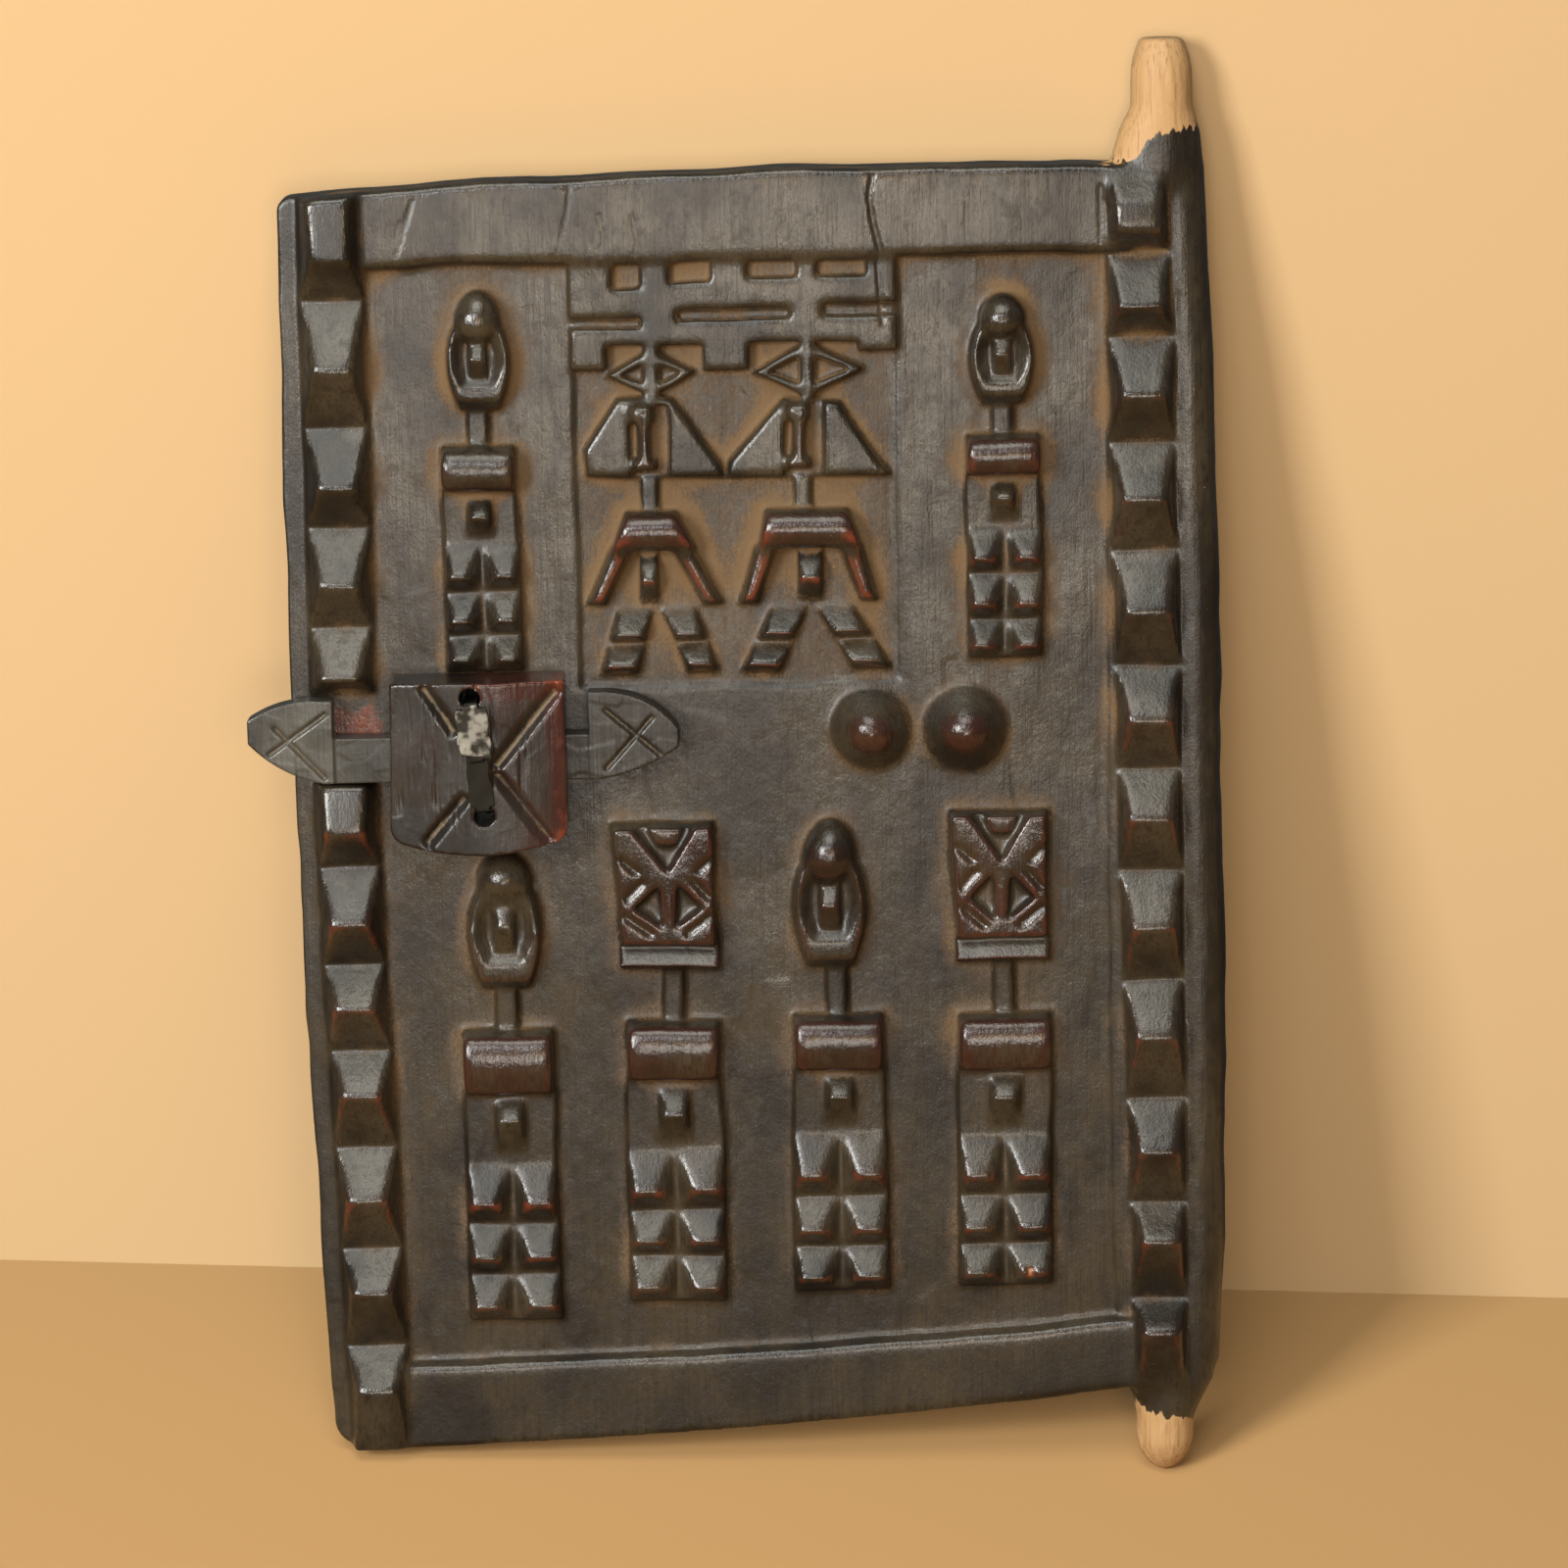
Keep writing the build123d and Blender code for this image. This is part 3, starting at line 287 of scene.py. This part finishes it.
# The door board
board = {
    "voxel": 0.5,
    "keep": 0.24,
    "rounding": 13,  # rounds of softening: edges rounded by years of hands, about 1 mm
    "rounder": 26,  # further rounds on what hands touch most
    "fieldY": -3.2,  # the sunken field that the figures stand on
    "backY": 7.3,
    "topPeg": (300.0, 304.0), "footPeg": (9.0, 3.0),  # z where each peg's round part sets in
    # the hand wanders: lump size in mm, a seed for each axis, how much of the whole
    "wander": (((17, 30, 23), (3, 5, 7), 1.0), ((6.5, 12, 7.5), (13, 15, 17), 0.5)),
    "wanderBy": (0.42, 0.14, 0.42),  # mm aside, out and up
    "flats": ((9.0, 34.0, 0.16, 11), (5.0, 17.0, 0.10, 23)),  # knife cuts: width, length, depth, seed
    "flatsLean": 0.06,  # the cuts follow the plank, which leans
    "adze": (15.0, 42.0, 0.35, 31),
    "hollows": ((40, 40, 60), 0.2, 33),  # broad unevenness of the back: lump size, depth, seed
    "whittling": (4.0, 15.0, 0.28, 29),
    "whittlingY": -3.2, "whittlingRadius": 7.0, "whittlingReach": 9.0,  # where it goes round the pegs
    "channel": (-185.0, 173.5, 5.0, 3.5, 2.0),  # the bolt has rubbed the wood red here
    "panel": (-97, 229, 33, 45, 6),  # the dancers' panel, where the most earth lies
    "earthFrom": (-194, -186), "earthTo": (0, 5),  # x where earth sets in and where it ends
    "coatFrom": (-14.5, -12.5),  # x where the post, with its bare pegs, sets in
    "torn": (((0.9, 0.9, 8.0), 47, 2.4), ((3.0, 3.0, 24.0), 49, 1.2)),  # fibres torn at the coat's end
}
# What hands have rubbed: x, z, half width, half height, how maroon, how much worn to brick red on its lips
rubbedPlaces = {
    "firstChest": (-152.4, 92.5, 11.5, 9.0, 1.0, 0.3), "secondChest": (-114.1, 95.4, 12.0, 8.5, 1.0, 0.2),
    "thirdChest": (-75.7, 96.4, 11.5, 8.5, 1.0, 0.3), "fourthChest": (-37.4, 96.2, 11.5, 8.5, 1.0, 0.3),
    "firstMask": (-152.4, 116.0, 8.0, 7.0, 0.55, 0.3), "secondMask": (-113.5, 133.0, 11.0, 19.0, 0.75, 0.35),
    "thirdMask": (-77.1, 128.0, 8.5, 15.0, 0.6, 0.3), "fourthMask": (-36.8, 134.0, 11.0, 19.0, 0.85, 0.4),
    "leftChest": (-155.0, 230.0, 9.0, 4.0, 0.65, 0.2), "rightChest": (-36.3, 232.5, 9.0, 6.0, 0.9, 0.5),
    "leftMask": (-154.5, 256.0, 7.0, 14.0, 0.2, 0.2), "rightMask": (-36.3, 256.0, 7.0, 14.0, 0.2, 0.2),
    "leftDancer": (-115.4, 217.0, 12.0, 5.0, 1.0, 0.6), "rightDancer": (-80.7, 217.0, 12.0, 5.0, 1.0, 0.8),
    "leftNose": (-117.0, 233.0, 2.6, 8.0, 0.7, 0.3), "rightNose": (-81.5, 233.0, 2.6, 8.0, 0.7, 0.35),
    "leftArms": (-115.4, 203.0, 17.0, 8.0, 0.6, 0.7), "rightArms": (-80.7, 203.0, 17.0, 8.0, 0.7, 0.8),
    "leftLegs": (-115.4, 191.0, 15.0, 8.0, 0.5, 0.5), "rightLegs": (-80.7, 191.0, 15.0, 8.0, 0.6, 0.6),
    "knees": (-94.0, 64.0, 70.0, 9.0, 0.7, 0.6), "shins": (-94.0, 42.0, 70.0, 13.0, 0.45, 0.5),
    "handRows": (-36.3, 204.0, 9.0, 18.0, 0.7, 0.5), "leftRows": (-155.0, 204.0, 9.0, 18.0, 0.35, 0.25),
    # the bosses' brick red is set high to paint the warm highlight beside their white one, over real wear
    "bosses": (-56.6, 168.0, 21.0, 5.0, 1.0, 0.45), "closingTeethLow": (-186.0, 95.0, 6.0, 55.0, 0.5, 0.55),
    "closingTeeth": (-186.0, 220.0, 6.0, 70.0, 0.15, 0.15), "postTeeth": (-4.0, 240.0, 8.0, 50.0, 0.35, 0.35),
    "postTeethLow": (-2.0, 90.0, 8.0, 90.0, 0.5, 0.5),
}
# Lines that the knife left: corners in x and z, then depth and width
knifeLines = {
    "railLong": (((-168.1, 293), (-170, 287), (-172.1, 280.8)), 0.35, 0.8),
    "railBeside": (((-171, 288.2), (-172.6, 283.3)), 0.25, 0.6),
    "railShort": (((-147.3, 292.6), (-147.6, 283.3)), 0.22, 0.5),
    "railBent": (((-132.8, 295.4), (-133.5, 290.2), (-135.5, 282.6), (-136.1, 279.3)), 0.30, 0.7),
    "railMiddle": (((-126.6, 289.2), (-125.6, 284), (-126.2, 280)), 0.25, 0.6),
    "railNext": (((-119.1, 289), (-118, 282.8), (-118.6, 279.8)), 0.25, 0.6),
    "railRight": (((-44.2, 289.6), (-44.5, 283.1)), 0.22, 0.5),
    "fluteOne": (((-14.2, 293.4), (-14.3, 280.8)), 0.40, 0.8),
    "fluteTwo": (((-13.1, 290.1), (-12.5, 280.8)), 0.40, 0.8),
    "fluteThree": (((-11.8, 288.5), (-11, 282.4)), 0.35, 0.7),
    "crack": (((-65.1, 296.8), (-66, 292.2), (-65.3, 286.7), (-63.7, 280.1), (-64.3, 276.8), (-63.3, 263.2)),
              0.80, 0.6),
}
# Where the peg's black coat ends, as x and z along the edge of the bare wood
bareEdges = {
    "top": ((-15, 297.0), (-11.4, 297.8), (-9.4, 298.3), (-5.8, 300.2), (-4.2, 303.1), (-2.1, 304.5),
            (1.9, 305.9), (5.9, 305.5), (9, 305.8)),
    "foot": ((-8, 7.3), (-5.3, 5.9), (-2.4, 4.8), (0.3, 3.6), (2.4, 4.5), (5.3, 3.3), (6.5, 2.0), (9, 4.4)),
}
chip = (-32.0, 40.9, 0.2, 0.6, 1.5)  # a splinter broken out of the last figure's shin
boardLook = {
    "black": "#1e1912", "sheen": 0.38, "ior": 1.6,
    "layers": {  # colour, or none where only the gloss changes, and roughness
        "smoke": ("#42392b", 0.27), "fibres": ("#120b08", 0.40), "spots": ("#1b110b", 0.42),
        "rubbedAndShaded": ("#381c15", 0.23), "wornAndShading": ("#7a3925", 0.20), "burnished": (None, 0.19),
        "earthAndShade": ("#553d22", 0.75), "grains": ("#82643b", 0.85), "flecks": ("#b0a286", 0.60),
        "bare": ("#c39a68", 0.62), "bareFibres": ("#97693f", 0.70),
    },
    "bumps": {"fibre": (0.60, 0.13), "mottle": (0.45, 0.35), "grit": (0.35, 0.12)},
}


def carveBoard():
    skin = Skin("door_board", board["voxel"])
    skin.soften(board["rounding"])
    p = skin.points
    level = board["fieldY"] - p[:, 1]
    front = smoothStep(level, -3.0, -1.0)
    peg = np.maximum(smoothStep(p[:, 2], *board["topPeg"]), smoothStep(p[:, 2], *board["footPeg"]))
    wander = sum(
        share * np.stack([lumps(p, size, seed) for seed in seeds], axis=1)
        for size, seeds, share in board["wander"]
    )
    p += wander * np.array(board["wanderBy"]) * (1 - 0.6 * peg[:, None])
    facing = np.clip(-skin.normals()[:, 1], 0, 1)
    cut = np.zeros(len(p))
    for width, length, depth, seed in board["flats"]:
        cut += depth * knifeFlats(p[:, 0] + board["flatsLean"] * p[:, 2], p[:, 2], width, length, seed)
    p[:, 1] += skin.blur(cut, 2) * facing * front * (1 - smoothStep(level, 4.5, 7.5) * 0.6)
    # long flat cuts round the pegs, from whittling
    turn = np.arctan2(p[:, 0], board["whittlingY"] - p[:, 1])
    width, length, depth, seed = board["whittling"]
    whittled = depth * knifeFlats(turn * board["whittlingRadius"], p[:, 2], width, length, seed)
    whittled *= peg * (abs(p[:, 0]) < board["whittlingReach"])
    p[:, 0] -= whittled * np.sin(turn)
    p[:, 1] += whittled * np.cos(turn)
    # the back is left from the adze
    width, length, depth, seed = board["adze"]
    back = smoothStep(p[:, 1], board["backY"] - 1.6, board["backY"] - 0.5)
    hewn = knifeFlats(p[:, 0], p[:, 2], width, length, seed) * depth
    broad, hollow, seed = board["hollows"]
    hewn += hollow * lumps(p, broad, seed)
    p[:, 1] -= back * np.clip(skin.blur(hewn, 3) + depth, 0, 2)
    # teeth, chests and limbs are rubbed rounder than the masks
    rounder = smoothStep(level, 1.8, 3.6) * front * (1 - peg)
    for name, (x, z, halfWidth, halfHeight, _, _) in rubbedPlaces.items():
        if name.endswith("Mask"):
            rounder *= 1 - spot(p, x, z, halfWidth + 2, halfHeight + 2, 2.0)
    for _ in range(board["rounder"]):
        p += (skin.mean(p) - p) * 0.5 * rounder[:, None]
    for line, depth, width in knifeLines.values():
        gap, along = lineGap(p, line)
        groove = (1 - smoothStep(gap, 0.1, width)) * smoothStep(level, -2, 0.5)
        p[:, 1] += depth * groove * (1 - 0.4 * along)
    broken = spot(p, *chip)
    p[:, 1] += 0.8 * broken * smoothStep(level, 1, 3)
    skin.soften(1)
    markBoard(skin, front, broken)
    wood = waxedWood("waxedBlackHardwood", boardLook)
    return skin.finish("carvedBoard", "door", wood, board["keep"])


def markBoard(skin, front, broken):
    p = skin.points
    level = board["fieldY"] - p[:, 1]
    normal = skin.normals()
    proud = skin.bulge(12)  # lips and rims
    near, wide = (level - surroundings(p, level, front * (normal[:, 1] < 0), reach) for reach in (4.0, 10.0))
    red, lips = np.full(len(p), 0.08), np.full(len(p), 0.08)
    for x, z, halfWidth, halfHeight, howRed, howWorn in rubbedPlaces.values():
        here = spot(p, x, z, halfWidth, halfHeight, 3.0)
        red, lips = np.maximum(red, here * howRed), np.maximum(lips, here * howWorn)
    high = smoothStep(level, 3.4, 6.0)
    patchy = 0.25 * lumps(p, (6, 6, 8), 41)
    skin.marks["rubbedAndShaded"] = front * red * (high * 0.75 + smoothStep(proud, 0.02, 0.12) * 0.5 + patchy * high)
    polish = skin.blur(front * smoothStep(proud, 0.02, 0.12) * smoothStep(level, 1.5, 4.0), 3)
    skin.marks["polish"] = np.maximum(polish, 0.7 * front * red * high)
    lips *= polish * (1 - smoothStep(normal[:, 2], -0.1, 0.4))  # brick red wear kept to where a lip looks down: painted shading, the red band below each lip's highlight
    skin.marks["wornAndShading"] = front * np.maximum(0.85 * lips, 0.6 * spot(p, *board["channel"]))
    hollow = 0.45 * smoothStep(-near, 0.1, 1.6) + 0.75 * smoothStep(-wide, 0.2, 2.2)
    # painted shade: sides facing right and down, away from the key lamp at the upper left, get the earth's
    # brown
    shadedSides = 0.30 * smoothStep(normal[:, 0], 0.25, 0.6) + 0.20 * smoothStep(-normal[:, 2], 0.25, 0.6)
    steep = 1 - smoothStep(-normal[:, 1], 0.5, 0.9)
    earthAndShade = np.maximum(hollow, 0.7 * steep * (1 - smoothStep(level, 1.5, 5.0)))
    earthAndShade += shadedSides * smoothStep(level, 0.3, 1.5)
    earthAndShade *= (1 - 0.8 * smoothStep(proud, 0.0, 0.08)) * (0.9 + 0.6 * lumps(p, (7, 7, 11), 43))
    # most of it lies round the dancers and the upper figures, hardly any outside the teeth
    panel = spot(p, *board["panel"])
    earthAndShade *= 0.42 + 0.25 * smoothStep(p[:, 2], 120, 210) + 0.25 * panel
    earthAndShade = np.maximum(earthAndShade, 0.45 * panel * (1 - smoothStep(level, 0.3, 1.2)))
    earthAndShade *= smoothStep(p[:, 0], *board["earthFrom"]) * (1 - smoothStep(p[:, 0], *board["earthTo"]))
    # the mark holds real earth in the hollows and painted shade on the sides turned from the key lamp
    skin.marks["earthAndShade"] = front * earthAndShade * (1 - 0.8 * high)
    fray = sum(lumps(p, size, seed) * reach for size, seed, reach in board["torn"])
    edges = {end: np.interp(p[:, 0], *zip(*line)) for end, line in bareEdges.items()}
    bare = smoothStep(p[:, 2] - edges["top"] - np.maximum(fray, -0.6), -0.3, 0.5)
    bare += smoothStep(edges["foot"] + 0.5 * fray - p[:, 2], -0.3, 0.5)
    skin.marks["bare"] = np.maximum(bare * smoothStep(p[:, 0], *board["coatFrom"]), 0.47 * broken)
    skin.marks["wornAndShading"] = np.maximum(skin.marks["wornAndShading"], broken)


carvedBoard = carveBoard()
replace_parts(carvedBoard, "door_board")

# The lock case and the bolt
case = {
    "voxel": 0.32, "keep": 0.5, "rounding": 8,
    "left": -177.5, "right": -136.9, "foot": 145.1, "top": 184.9,
    "scratches": 46,  # fine lines that run up the face, mostly on its closing side
    "crack": ((-157.2, 181.0), (-156.6, 185.4)),  # a short split over the upper hole
    "flats": (7.0, 19.0, 0.12, 69),
}
caseLook = {
    "black": "#1d1713", "sheen": 0.34, "ior": 1.5,
    "layers": {
        "smoke": ("#36302a", 0.32), "fibres": ("#120e0b", 0.40), "rubbedAndShaded": ("#43211a", 0.20),
        "wornAndShading": ("#8a4128", 0.24), "burnished": (None, 0.15), "earthAndShade": ("#4d4032", 0.50),
        "grains": ("#857455", 0.70), "flecks": ("#8f8470", 0.50),
    },
    "bumps": {"fibre": (0.50, 0.12), "mottle": (0.30, 0.35)},
}
boltPiece = {
    "voxel": 0.3, "keep": 0.6, "rounding": 3,
    "hidden": (-157, 166, 19, 20, 2.0),  # what runs in the case is left smooth
    "flats": (5.0, 9.0, 0.16, 81),
    "shadedInnerHead": (-142, -134),  # x where the inner head sets in, painted darker as the shadow that the case casts on it
}
boltLook = {
    "black": "#302e29", "sheen": 0.36, "ior": 1.5,
    "layers": {
        # on the bolt this near-black layer is painted shadow: the inner head in the case's shadow
        "smoke": ("#56534b", 0.30), "fibres": ("#1d1a16", 0.42), "rubbedAndShaded": ("#1f1a16", 0.40),
        "wornAndShading": ("#6d4a33", 0.38), "burnished": (None, 0.20), "earthAndShade": ("#5d4a31", 0.75),
        "grains": ("#86765a", 0.85), "flecks": ("#a3967c", 0.60),
    },
    "bumps": {"fibre": (0.40, 0.10), "mottle": (0.35, 0.35), "grit": (0.20, 0.12)},
}


def carveCase():
    skin = Skin("lock_block", case["voxel"])
    skin.soften(case["rounding"])
    p = skin.points
    p += 0.22 * np.stack([lumps(p, (9, 14, 12), seed) for seed in (61, 63, 65)], axis=1)
    face = smoothStep(-skin.normals()[:, 1], 0.5, 0.9)
    random = np.random.default_rng(67)
    for _ in range(case["scratches"]):
        x = case["left"] + 2 + (case["right"] - case["left"] - 4) * random.beta(1.1, 1.7)
        low, length = random.uniform(case["foot"] + 4, case["top"] - 12), random.uniform(5, 15)
        gap, along = lineGap(p, ((x, low), (x + random.normal(0, 0.4), low + length)))
        p[:, 1] += face * 0.17 * (1 - smoothStep(gap, 0.05, 0.5)) * np.sin(np.pi * np.clip(along, 0.02, 0.98))
    crack, along = lineGap(p, case["crack"])
    p[:, 1] += face * 0.9 * (1 - smoothStep(crack, 0.1, 0.5))
    width, length, depth, seed = case["flats"]
    p[:, 1] += face * depth * skin.blur(knifeFlats(p[:, 0], p[:, 2], width, length, seed), 2)
    proud = skin.bulge(8)
    sunk = smoothStep(surroundings(p, -p[:, 1], face, 3.0, 0.4) + p[:, 1], 0.12, 0.55)
    across = (p[:, 0] - case["left"]) / (case["right"] - case["left"])
    up = (p[:, 2] - case["foot"]) / (case["top"] - case["foot"])
    edge = 0.8 * smoothStep(across, 0.86, 0.97)
    edge += 0.6 * smoothStep(up, 0.86, 0.95) * smoothStep(across, 0.35, 0.6)
    edge += 0.4 * smoothStep(0.2 - up, 0.02, 0.14) * smoothStep(across, 0.6, 0.9)
    patchy = 0.3 * lumps(p, (6, 6, 9), 71)
    skin.marks["rubbedAndShaded"] = 0.12 + 0.4 * across + edge + 0.3 * smoothStep(proud, 0.02, 0.1) + patchy
    lips = 0.3 * smoothStep(proud, 0.05, 0.14)
    skin.marks["wornAndShading"] = 0.4 * edge * (0.7 + 0.5 * lumps(p, (4, 4, 9), 73)) + lips
    skin.marks["polish"] = smoothStep(proud, 0.02, 0.12)
    skin.marks["earthAndShade"] = 0.75 * face * sunk * (0.8 + 0.6 * lumps(p, (4, 4, 4), 75))
    wood = waxedWood("handledCaseWood", caseLook)
    return skin.finish("carvedCase", "door", wood, case["keep"])


def carveBolt():
    skin = Skin("sliding_bolt", boltPiece["voxel"])
    skin.soften(boltPiece["rounding"])
    p = skin.points
    face = smoothStep(-skin.normals()[:, 1], 0.5, 0.9) * (1 - spot(p, *boltPiece["hidden"]))
    width, length, depth, seed = boltPiece["flats"]
    p[:, 1] += face * depth * skin.blur(knifeFlats(p[:, 2], p[:, 0], width, length, seed), 2)
    proud = skin.bulge(8)
    sunk = smoothStep(surroundings(p, -p[:, 1], face, 2.5, 0.4) + p[:, 1], 0.10, 0.45)
    # painted shadow: the inner head, which the case shades, is turned near-black
    skin.marks["rubbedAndShaded"] = 1.3 * smoothStep(p[:, 0], *boltPiece["shadedInnerHead"])
    skin.marks["wornAndShading"] = 0.3 * smoothStep(proud, 0.05, 0.14)
    skin.marks["polish"] = smoothStep(proud, 0.02, 0.12)
    skin.marks["earthAndShade"] = face * sunk * 0.7
    wood = waxedWood("slidingBoltWood", boltLook)
    return skin.finish("carvedBolt", "bolt", wood, boltPiece["keep"])


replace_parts(carveCase(), "lock_block")
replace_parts(carveBolt(), "sliding_bolt")

# The tin strap
strap = {
    "voxel": 0.16, "keep": 0.6, "dents": 0.22,
    "faceY": -16.6,  # everything in front of this lies on the case and is dented
    "tongueTop": 168.4,  # the dark lower end of the strip lies under the bright flap
    "stains": 3.4, "scuffs": 0.5,  # size of the dark stains and of the fine scuffs
    "metal": "#96938a", "tarnish": "#57534a", "stain": "#26231d",
}


def tinSheet():
    # Thin tin-plated sheet cut from a can and folded by hand: bright and dented where fingers rub it, with
    # dark stains of rust and oil and a tarnished end.
    material, tree = emptyMaterial("oldTinSheet")
    place = addNode(tree, "TexCoord").outputs["Object"]
    stains = addNode(tree, "TexNoise", None, Vector=place, Scale=1 / strap["stains"] / mm, Detail=4.0)
    scuffs = addNode(tree, "TexNoise", None, Vector=place, Scale=1 / strap["scuffs"] / mm, Detail=2.0)
    dull = addNode(tree, "Attribute", {"attribute_name": "tarnish"}).outputs["Fac"]
    dark = addNode(tree, "Math", {"operation": "MULTIPLY_ADD"}, i0=stains, i1=1.6, i2=dull)
    share = addNode(tree, "MapRange", setIn, i0=dark, i1=0.76, i2=1.02, i3=0.0, i4=0.92)
    metal, tarnish, stain = (linear(strap[tone]) for tone in ("metal", "tarnish", "stain"))
    grey = addNode(tree, "Mix", {"data_type": "RGBA"}, i0=dull, i6=metal, i7=tarnish)
    colour = addNode(tree, "Mix", {"data_type": "RGBA"}, i0=share, i6=grey, i7=stain)
    rough = addNode(tree, "MapRange", None, i0=dark, i1=0.6, i2=1.2, i3=0.38, i4=0.62)
    bump = addNode(tree, "Bump", None, Strength=0.3, Distance=0.06 * mm, Height=scuffs)
    shader = addNode(tree, "BsdfPrincipled", None, Base_Color=colour, Roughness=rough, Normal=bump)
    shader.inputs["Metallic"].default_value = 0.9
    addNode(tree, "OutputMaterial", None, Surface=shader)
    return material


def foldStrap():
    skin = Skin("tin_strap", strap["voxel"])
    p = skin.points
    outside = smoothStep(strap["faceY"] - p[:, 1], -0.6, 0.4)
    p[:, 0] += outside * 0.35 * lumps(p, (2.2, 9, 2.6), 91)
    p[:, 1] -= outside * strap["dents"] * (0.6 + lumps(p, (3.2, 30, 4.0), 93))
    skin.soften(2)
    above = smoothStep(p[:, 2], strap["tongueTop"] - 0.6, strap["tongueTop"] + 0.4)
    skin.marks["tarnish"] = 0.15 + 0.85 * (1 - above * outside)
    return skin.finish("foldedStrap", "door", tinSheet(), strap["keep"])


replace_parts(foldStrap(), "tin_strap")

# The stage: a plain pale floor and backdrop, tilted because the door leans back against the backdrop
stage = {
    "lean": 13.3,  # degrees that the door leans back
    "floorRoll": 2.65,  # the door stands on its foot peg and its closing corner
    "footPoint": (0.0, -1.0, -10.6),
    "restPoint": (0.0, 7.2, 316.0),
    "reach": 2600,
    "floor": "#b99363",
    "backdrop": "#dbbd90",
}


def paintedBoard(name, colour, oneSided):
    # Matt painted board: no gloss, one even colour. Seen from behind, the backdrop lets the view through.
    material, tree = emptyMaterial(name)
    surface = addNode(tree, "BsdfDiffuse", None, Color=linear(colour), Roughness=0.9)
    if oneSided:
        behind = addNode(tree, "NewGeometry").outputs["Backfacing"]
        clear = addNode(tree, "BsdfTransparent")
        surface = addNode(tree, "MixShader", None, i0=behind, i1=surface, i2=clear)
    addNode(tree, "OutputMaterial", None, Surface=surface)
    return material


def stagePlane(name, origin, side, up, material):
    reach = stage["reach"]
    corners = [origin + side * (u * reach) + up * v for u, v in ((-1, 0), (1, 0), (1, reach), (-1, reach))]
    mesh = bpy.data.meshes.new(name)
    mesh.from_pydata([c * mm for c in corners], [], [(0, 1, 2, 3)])
    plane = bpy.data.objects.new(name, mesh)
    scene.collection.objects.link(plane)
    mesh.materials.append(material)
    return plane


lean, roll = math.radians(stage["lean"]), math.radians(stage["floorRoll"])
wallUp = Vector((0, -math.sin(lean), math.cos(lean)))
floorBack = Vector((0, math.cos(lean), math.sin(lean)))
floorSide = Vector((math.cos(roll), 0, -math.sin(roll) * math.cos(lean))).normalized()
foot, rest = Vector(stage["footPoint"]), Vector(stage["restPoint"])
floorIn = floorSide.cross(floorBack).normalized().cross(floorSide).normalized()
# where the floor and the backdrop meet
fold = foot + floorIn * ((rest - foot).dot(floorBack) / floorIn.dot(floorBack))
paleFloor = paintedBoard("paleFloor", stage["floor"], False)
paleBackdrop = paintedBoard("paleBackdrop", stage["backdrop"], True)
floorPlane = stagePlane("floorBoard", fold, -floorSide, -floorIn, paleFloor)
backdrop = stagePlane("backdropBoard", fold, floorSide, wallUp, paleBackdrop)
backdrop.visible_diffuse = backdrop.visible_shadow = backdrop.visible_glossy = False
floorPlane.visible_shadow = False

# The camera
view = {"target": (-87.4, -3.2, 157.5), "distance": 1166.0, "height": 12.0, "roll": -1.07, "lens": 116.55}
target = Vector(view["target"]) * mm
rise = math.radians(view["height"])
camera = bpy.data.objects.new("camera", bpy.data.cameras.new("camera"))
scene.collection.objects.link(camera)
camera.location = target + view["distance"] * mm * Vector((0, -math.cos(rise), math.sin(rise)))
camera.rotation_mode = "QUATERNION"
aim = (target - camera.location).to_track_quat("-Z", "Y")
camera.rotation_quaternion = aim @ Quaternion((0, 0, 1), math.radians(view["roll"]))
camera.data.lens = view["lens"]
camera.data.sensor_width = 36
camera.data.clip_start = 0.01
scene.camera = camera

# The lamps: azimuth from straight in front (left is negative), elevation, distance, width and height in mm,
# watts, colour
lamps = {
    "windowLeft": (-36, 15, 1500, 380, 620, 18.5, "#fbfaf6"),
    "softFront": (0, -1, 1500, 480, 340, 4.3, "#fff8ee"),
    "stripAbove": (-10, 25, 1500, 420, 180, 2.6, "#fbfbff"),
    "warmLamp": (9, 8, 1500, 190, 190, 1.3, "#ffcf90"),
    "softAbove": (-10, 54, 1500, 900, 700, 9.5, "#f8f8ee"),
}
for name, (azimuth, elevation, distance, width, height, power, colour) in lamps.items():
    lamp = bpy.data.lights.new(name, "AREA")
    lamp.shape = "RECTANGLE"
    lamp.size, lamp.size_y = width * mm, height * mm
    lamp.energy = power
    lamp.color = linear(colour)[:3]
    a, e = math.radians(azimuth), math.radians(elevation)
    away = Vector((math.sin(a) * math.cos(e), -math.cos(a) * math.cos(e), math.sin(e)))
    holder = bpy.data.objects.new(name, lamp)
    holder.location = target + away * distance * mm
    holder.rotation_mode = "QUATERNION"
    holder.rotation_quaternion = (-away).to_track_quat("-Z", "Y")
    scene.collection.objects.link(holder)

# A soft room: darker towards the floor
room = {"colour": "#f4f4ee", "downward": 0.04, "upward": 0.20, "from": -0.4, "to": 0.7}
world = bpy.data.worlds.new("softRoom")
scene.world = world
world.use_nodes = True
air = world.node_tree
air.nodes.clear()
direction = addNode(air, "TexCoord").outputs["Generated"]
upward = addNode(air, "SeparateXYZ", None, Vector=direction).outputs["Z"]
limits = {"i1": room["from"], "i2": room["to"], "i3": room["downward"], "i4": room["upward"]}
glow = addNode(air, "MapRange", None, i0=upward, **limits)
background = addNode(air, "Background", None, Color=linear(room["colour"]), Strength=glow)
addNode(air, "OutputWorld", None, Surface=background)

scene.view_settings.view_transform = "Standard"
print("stage, camera and lamps set")
